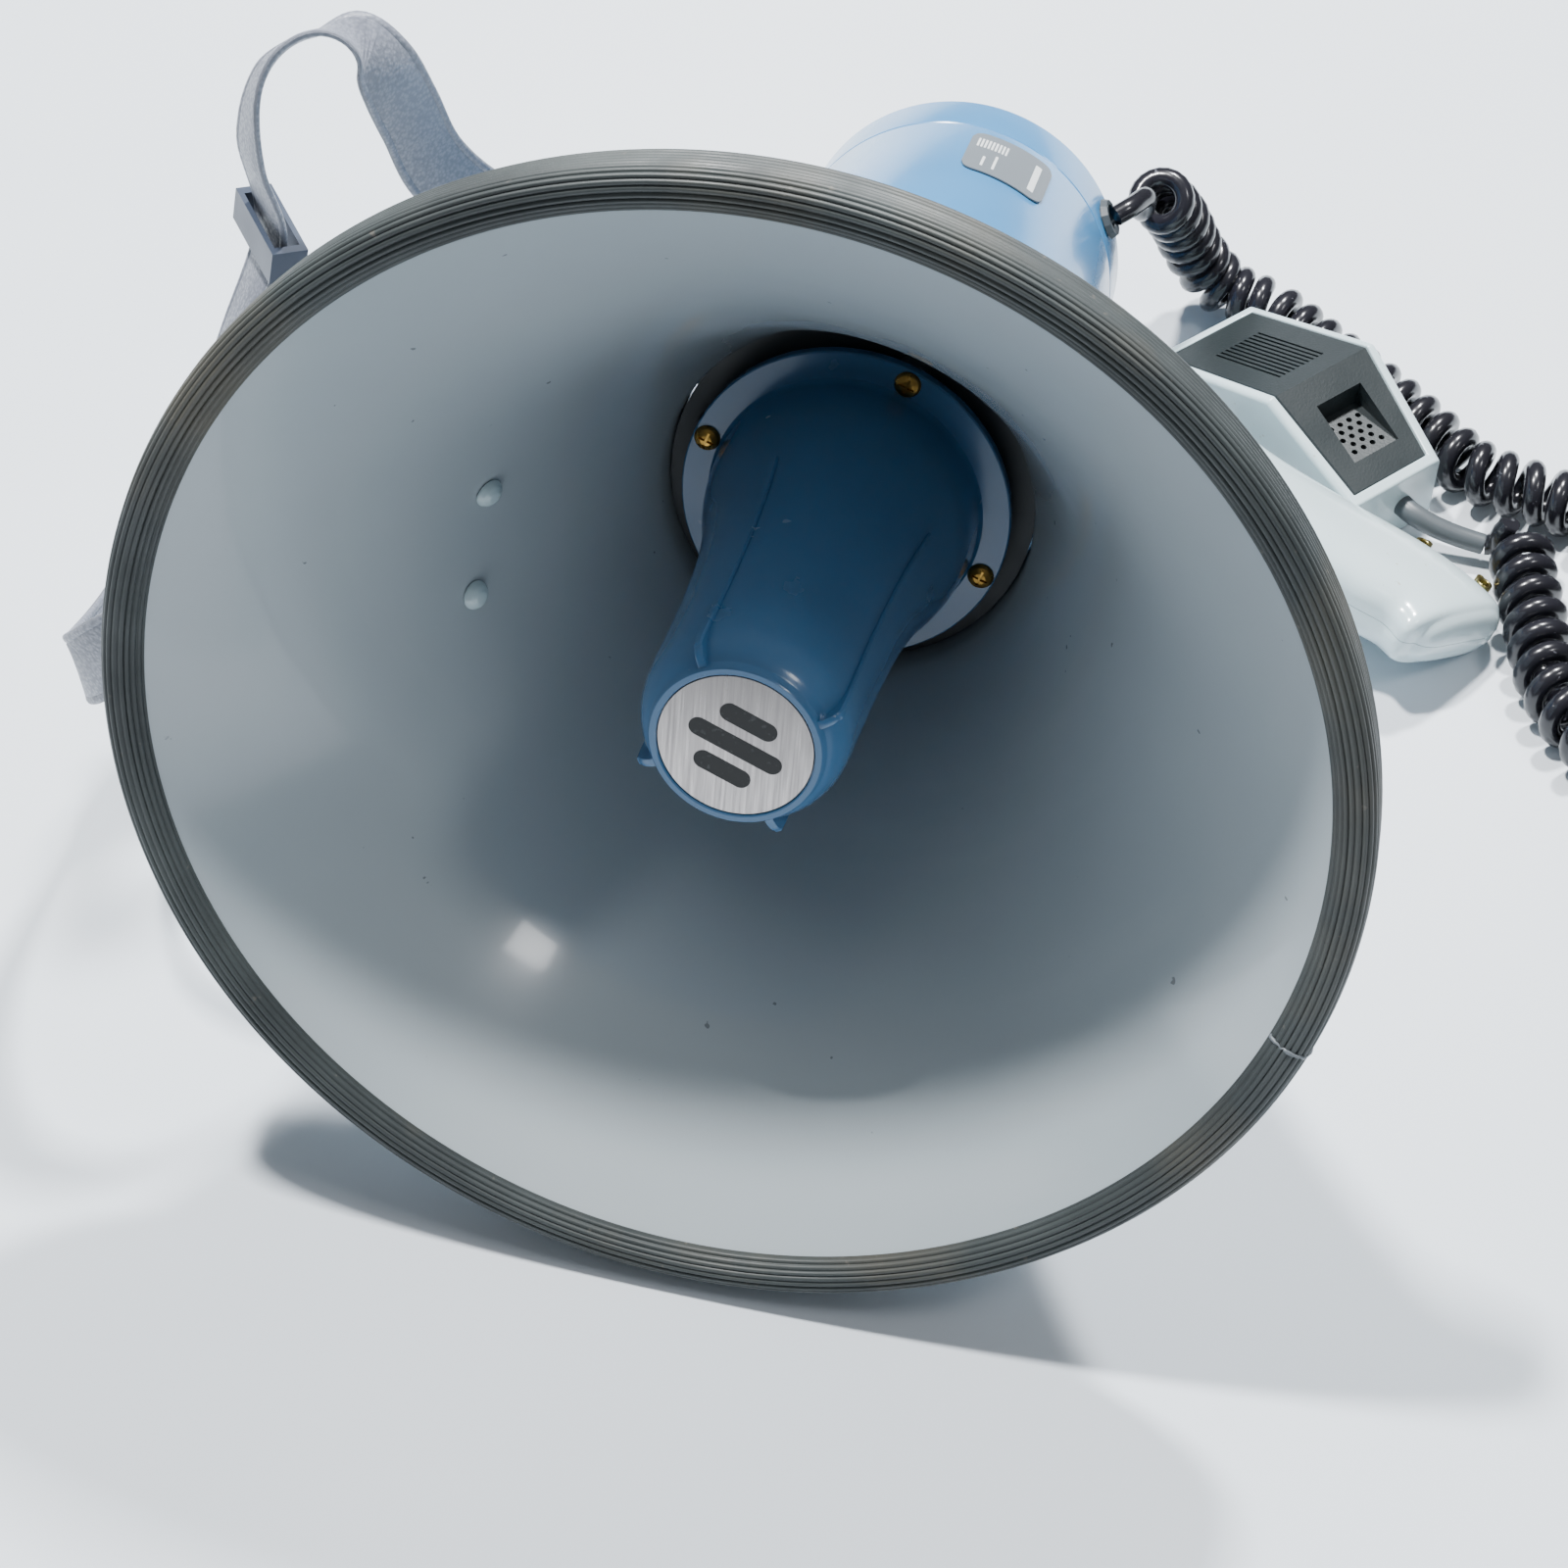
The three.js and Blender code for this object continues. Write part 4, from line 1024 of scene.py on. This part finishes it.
def make_mic_panel():
    plate = carve(mic_solid(3.6, 0.3, 6, 3.6, 0.6), [mic_solid(-5, 4.2, -5, -6, 0.5)])
    cutters = []
    for k in range(10):
        y = -9 + k * 1.95
        cutters.append(box_mesh("slot", (-36, y - 0.42, 0), (-8, y + 0.42, 60)))
    cutters.append(box_mesh("recess", (8, -8.4, 0), (27, 9.6, 60)))
    plate = carve(plate, cutters)
    panel = place("mic_front", plate, MIC_FRAME, PANEL, "hand_microphone", 30)
    add_bevel(panel, 0.18, 2, 35)
    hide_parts("mic_panel")


def make_mic_grille():
    """The sloping floor of the recess with its staggered holes, and its side walls."""
    ridge = MIC_SECTIONS[1][2]
    slope = MIC_SLOPES[2]
    near = (7.6, ridge + 7.6 * slope - 8.5)
    far = (27.4, ridge + 27.4 * slope - 0.9)
    thickness = 2
    corners = []
    for lower in (0, thickness):
        corners += [(near[0], -8.8, near[1] - lower), (far[0], -8.8, far[1] - lower),
                    (far[0], 10, far[1] - lower), (near[0], 10, near[1] - lower)]
    floor = mesh_of("floor", corners, [(0, 1, 2, 3), (7, 6, 5, 4), (0, 4, 5, 1), (1, 5, 6, 2),
                                       (2, 6, 7, 3), (3, 7, 4, 0)])
    holes = []
    for row in range(5):
        for k in range(4 - (row % 2)):
            x = 12.4 + row * 2.7
            y = -4.9 + k * 3.7 + (row % 2) * 1.85
            pin = turned("hole", [(0, -20), (0.95, -20), (0.95, 20), (0, 20)], 16, 0)
            holes.append(moved(pin, Matrix.Translation((x, y, 25)) @ Matrix.Rotation(math.pi / 2, 4, "X")))
    floor = carve(floor, holes)
    below_plate = ridge - 4.4
    side = [(7.4, 26), (7.4, below_plate + 7.4 * slope), (22, below_plate + 22 * slope), (22, 26)]
    walls = [loft("wall", [[(x, y, z) for x, z in side] for y in span])
             for span in ((-9.6, -8.5), (9.7, 10.8))]
    walls.append(box_mesh("wall", (6.4, -9.6, 20), (7.9, 10.8, 34)))
    grille = place("mic_grille", merged("grille", [floor] + walls), MIC_FRAME, PANEL, "hand_microphone")


def make_mic_small_pieces():
    button = merged("talk", [
        box_mesh("plate", (-8.7, 19.5, 12.6), (20.7, 23.3, 21.4), 1),
        box_mesh("stem", (3, 15.6, 14.6), (9, 20, 19.4))])
    grooves = [box_mesh("groove", (x - 0.4, 22.9, 10), (x + 0.4, 24, 24)) for x in range(-4, 18, 3)]
    button = place("talk_bar", carve(button, grooves), MIC_FRAME, DARK, "talk_button")
    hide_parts("talk_button")
    path = even(catmull(RELIEF_ROUTE, 10), 0.8)
    relief = sweep("relief", path, lambda t: 3.5 - 0.25 * t, 28, 0.5)
    relief = place("strain_relief", relief, FLOOR_FRAME, RELIEF, "hand_microphone", 60)
    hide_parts("mic_strain_relief")


# ---------- brackets, rivets, slide and gland ----------
def on_horn(sideways=0.0):
    """Square to the horn wall beside the strap bracket: y down the flare, z outwards."""
    radius = flare_radius(BRACKET_S)
    lean = Matrix.Rotation(-math.atan(FLARE * radius), 4, "X")
    turn = Matrix.Rotation(BRACKET_TURN + sideways / radius, 4, "Y")
    return turn @ Matrix.Translation((0, BRACKET_S, radius)) @ lean


def make_rivets():
    for number, side in ((1, -1), (2, 1)):
        outline = [(0, -3.1), (1.6, -2.9), (3, -2.1), (3.8, -1), (4, -0.3), (1.8, -0.3), (1.8, 5), (0, 5)]
        mesh = turned("rivet", outline, 40, 0.25)
        stand = on_horn(side * RIVET_SPREAD) @ Matrix.Rotation(math.pi / 2, 4, "X")
        rivet = place(f"rivet_{number}", moved(mesh, stand), HORN_FRAME, WHITE, "megaphone")
        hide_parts(f"horn_rivet_{number}")


def finish_cad_nodes():
    """CAD pieces that keep their own shape get their finish, and the visible ones softer edges."""
    looks = {
        "horn_base": DARK, "sound_tube": DARK, "driver_clamp_ring": STEEL, "driver_diaphragm": CONE,
        "driver_voice_coil": BRASS, "driver_front_plate": STEEL, "driver_magnet": FERRITE,
        "driver_yoke": STEEL, "amplifier_board": BOARD, "output_transformer": STEEL,
        "amplifier_capacitor_1": DARK, "amplifier_capacitor_2": DARK, "battery_tray": DARK,
        "front_contact_plate": STEEL, "rear_contact_plate": STEEL, "volume_control": STEEL,
        "cord_gland": DARK, "horn_strap_bracket": STEEL, "rear_strap_lug": STEEL, "strap_slide": SLIDE,
        "mic_back": WHITE, "mic_capsule": STEEL, "talk_switch": BOARD,
    }
    looks.update({f"battery_cell_{k}": CELL for k in range(1, 9)})
    for name, material in looks.items():
        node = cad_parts[name]
        node.data.materials.clear()
        node.data.materials.append(material)
    for name in ("horn_strap_bracket", "rear_strap_lug", "strap_slide", "cord_gland"):
        add_bevel(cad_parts[name], 0.35, 2, 40)


make_camera()
make_cords()
make_studio()
make_horn()
make_rim()
make_reflector()
make_reflector_screws()
make_rear_body()
make_lid()
make_knob()
make_label()
make_grip()
make_bail()
make_strap()
make_mic_shell()
make_mic_panel()
make_mic_grille()
make_mic_small_pieces()
make_rivets()
finish_cad_nodes()
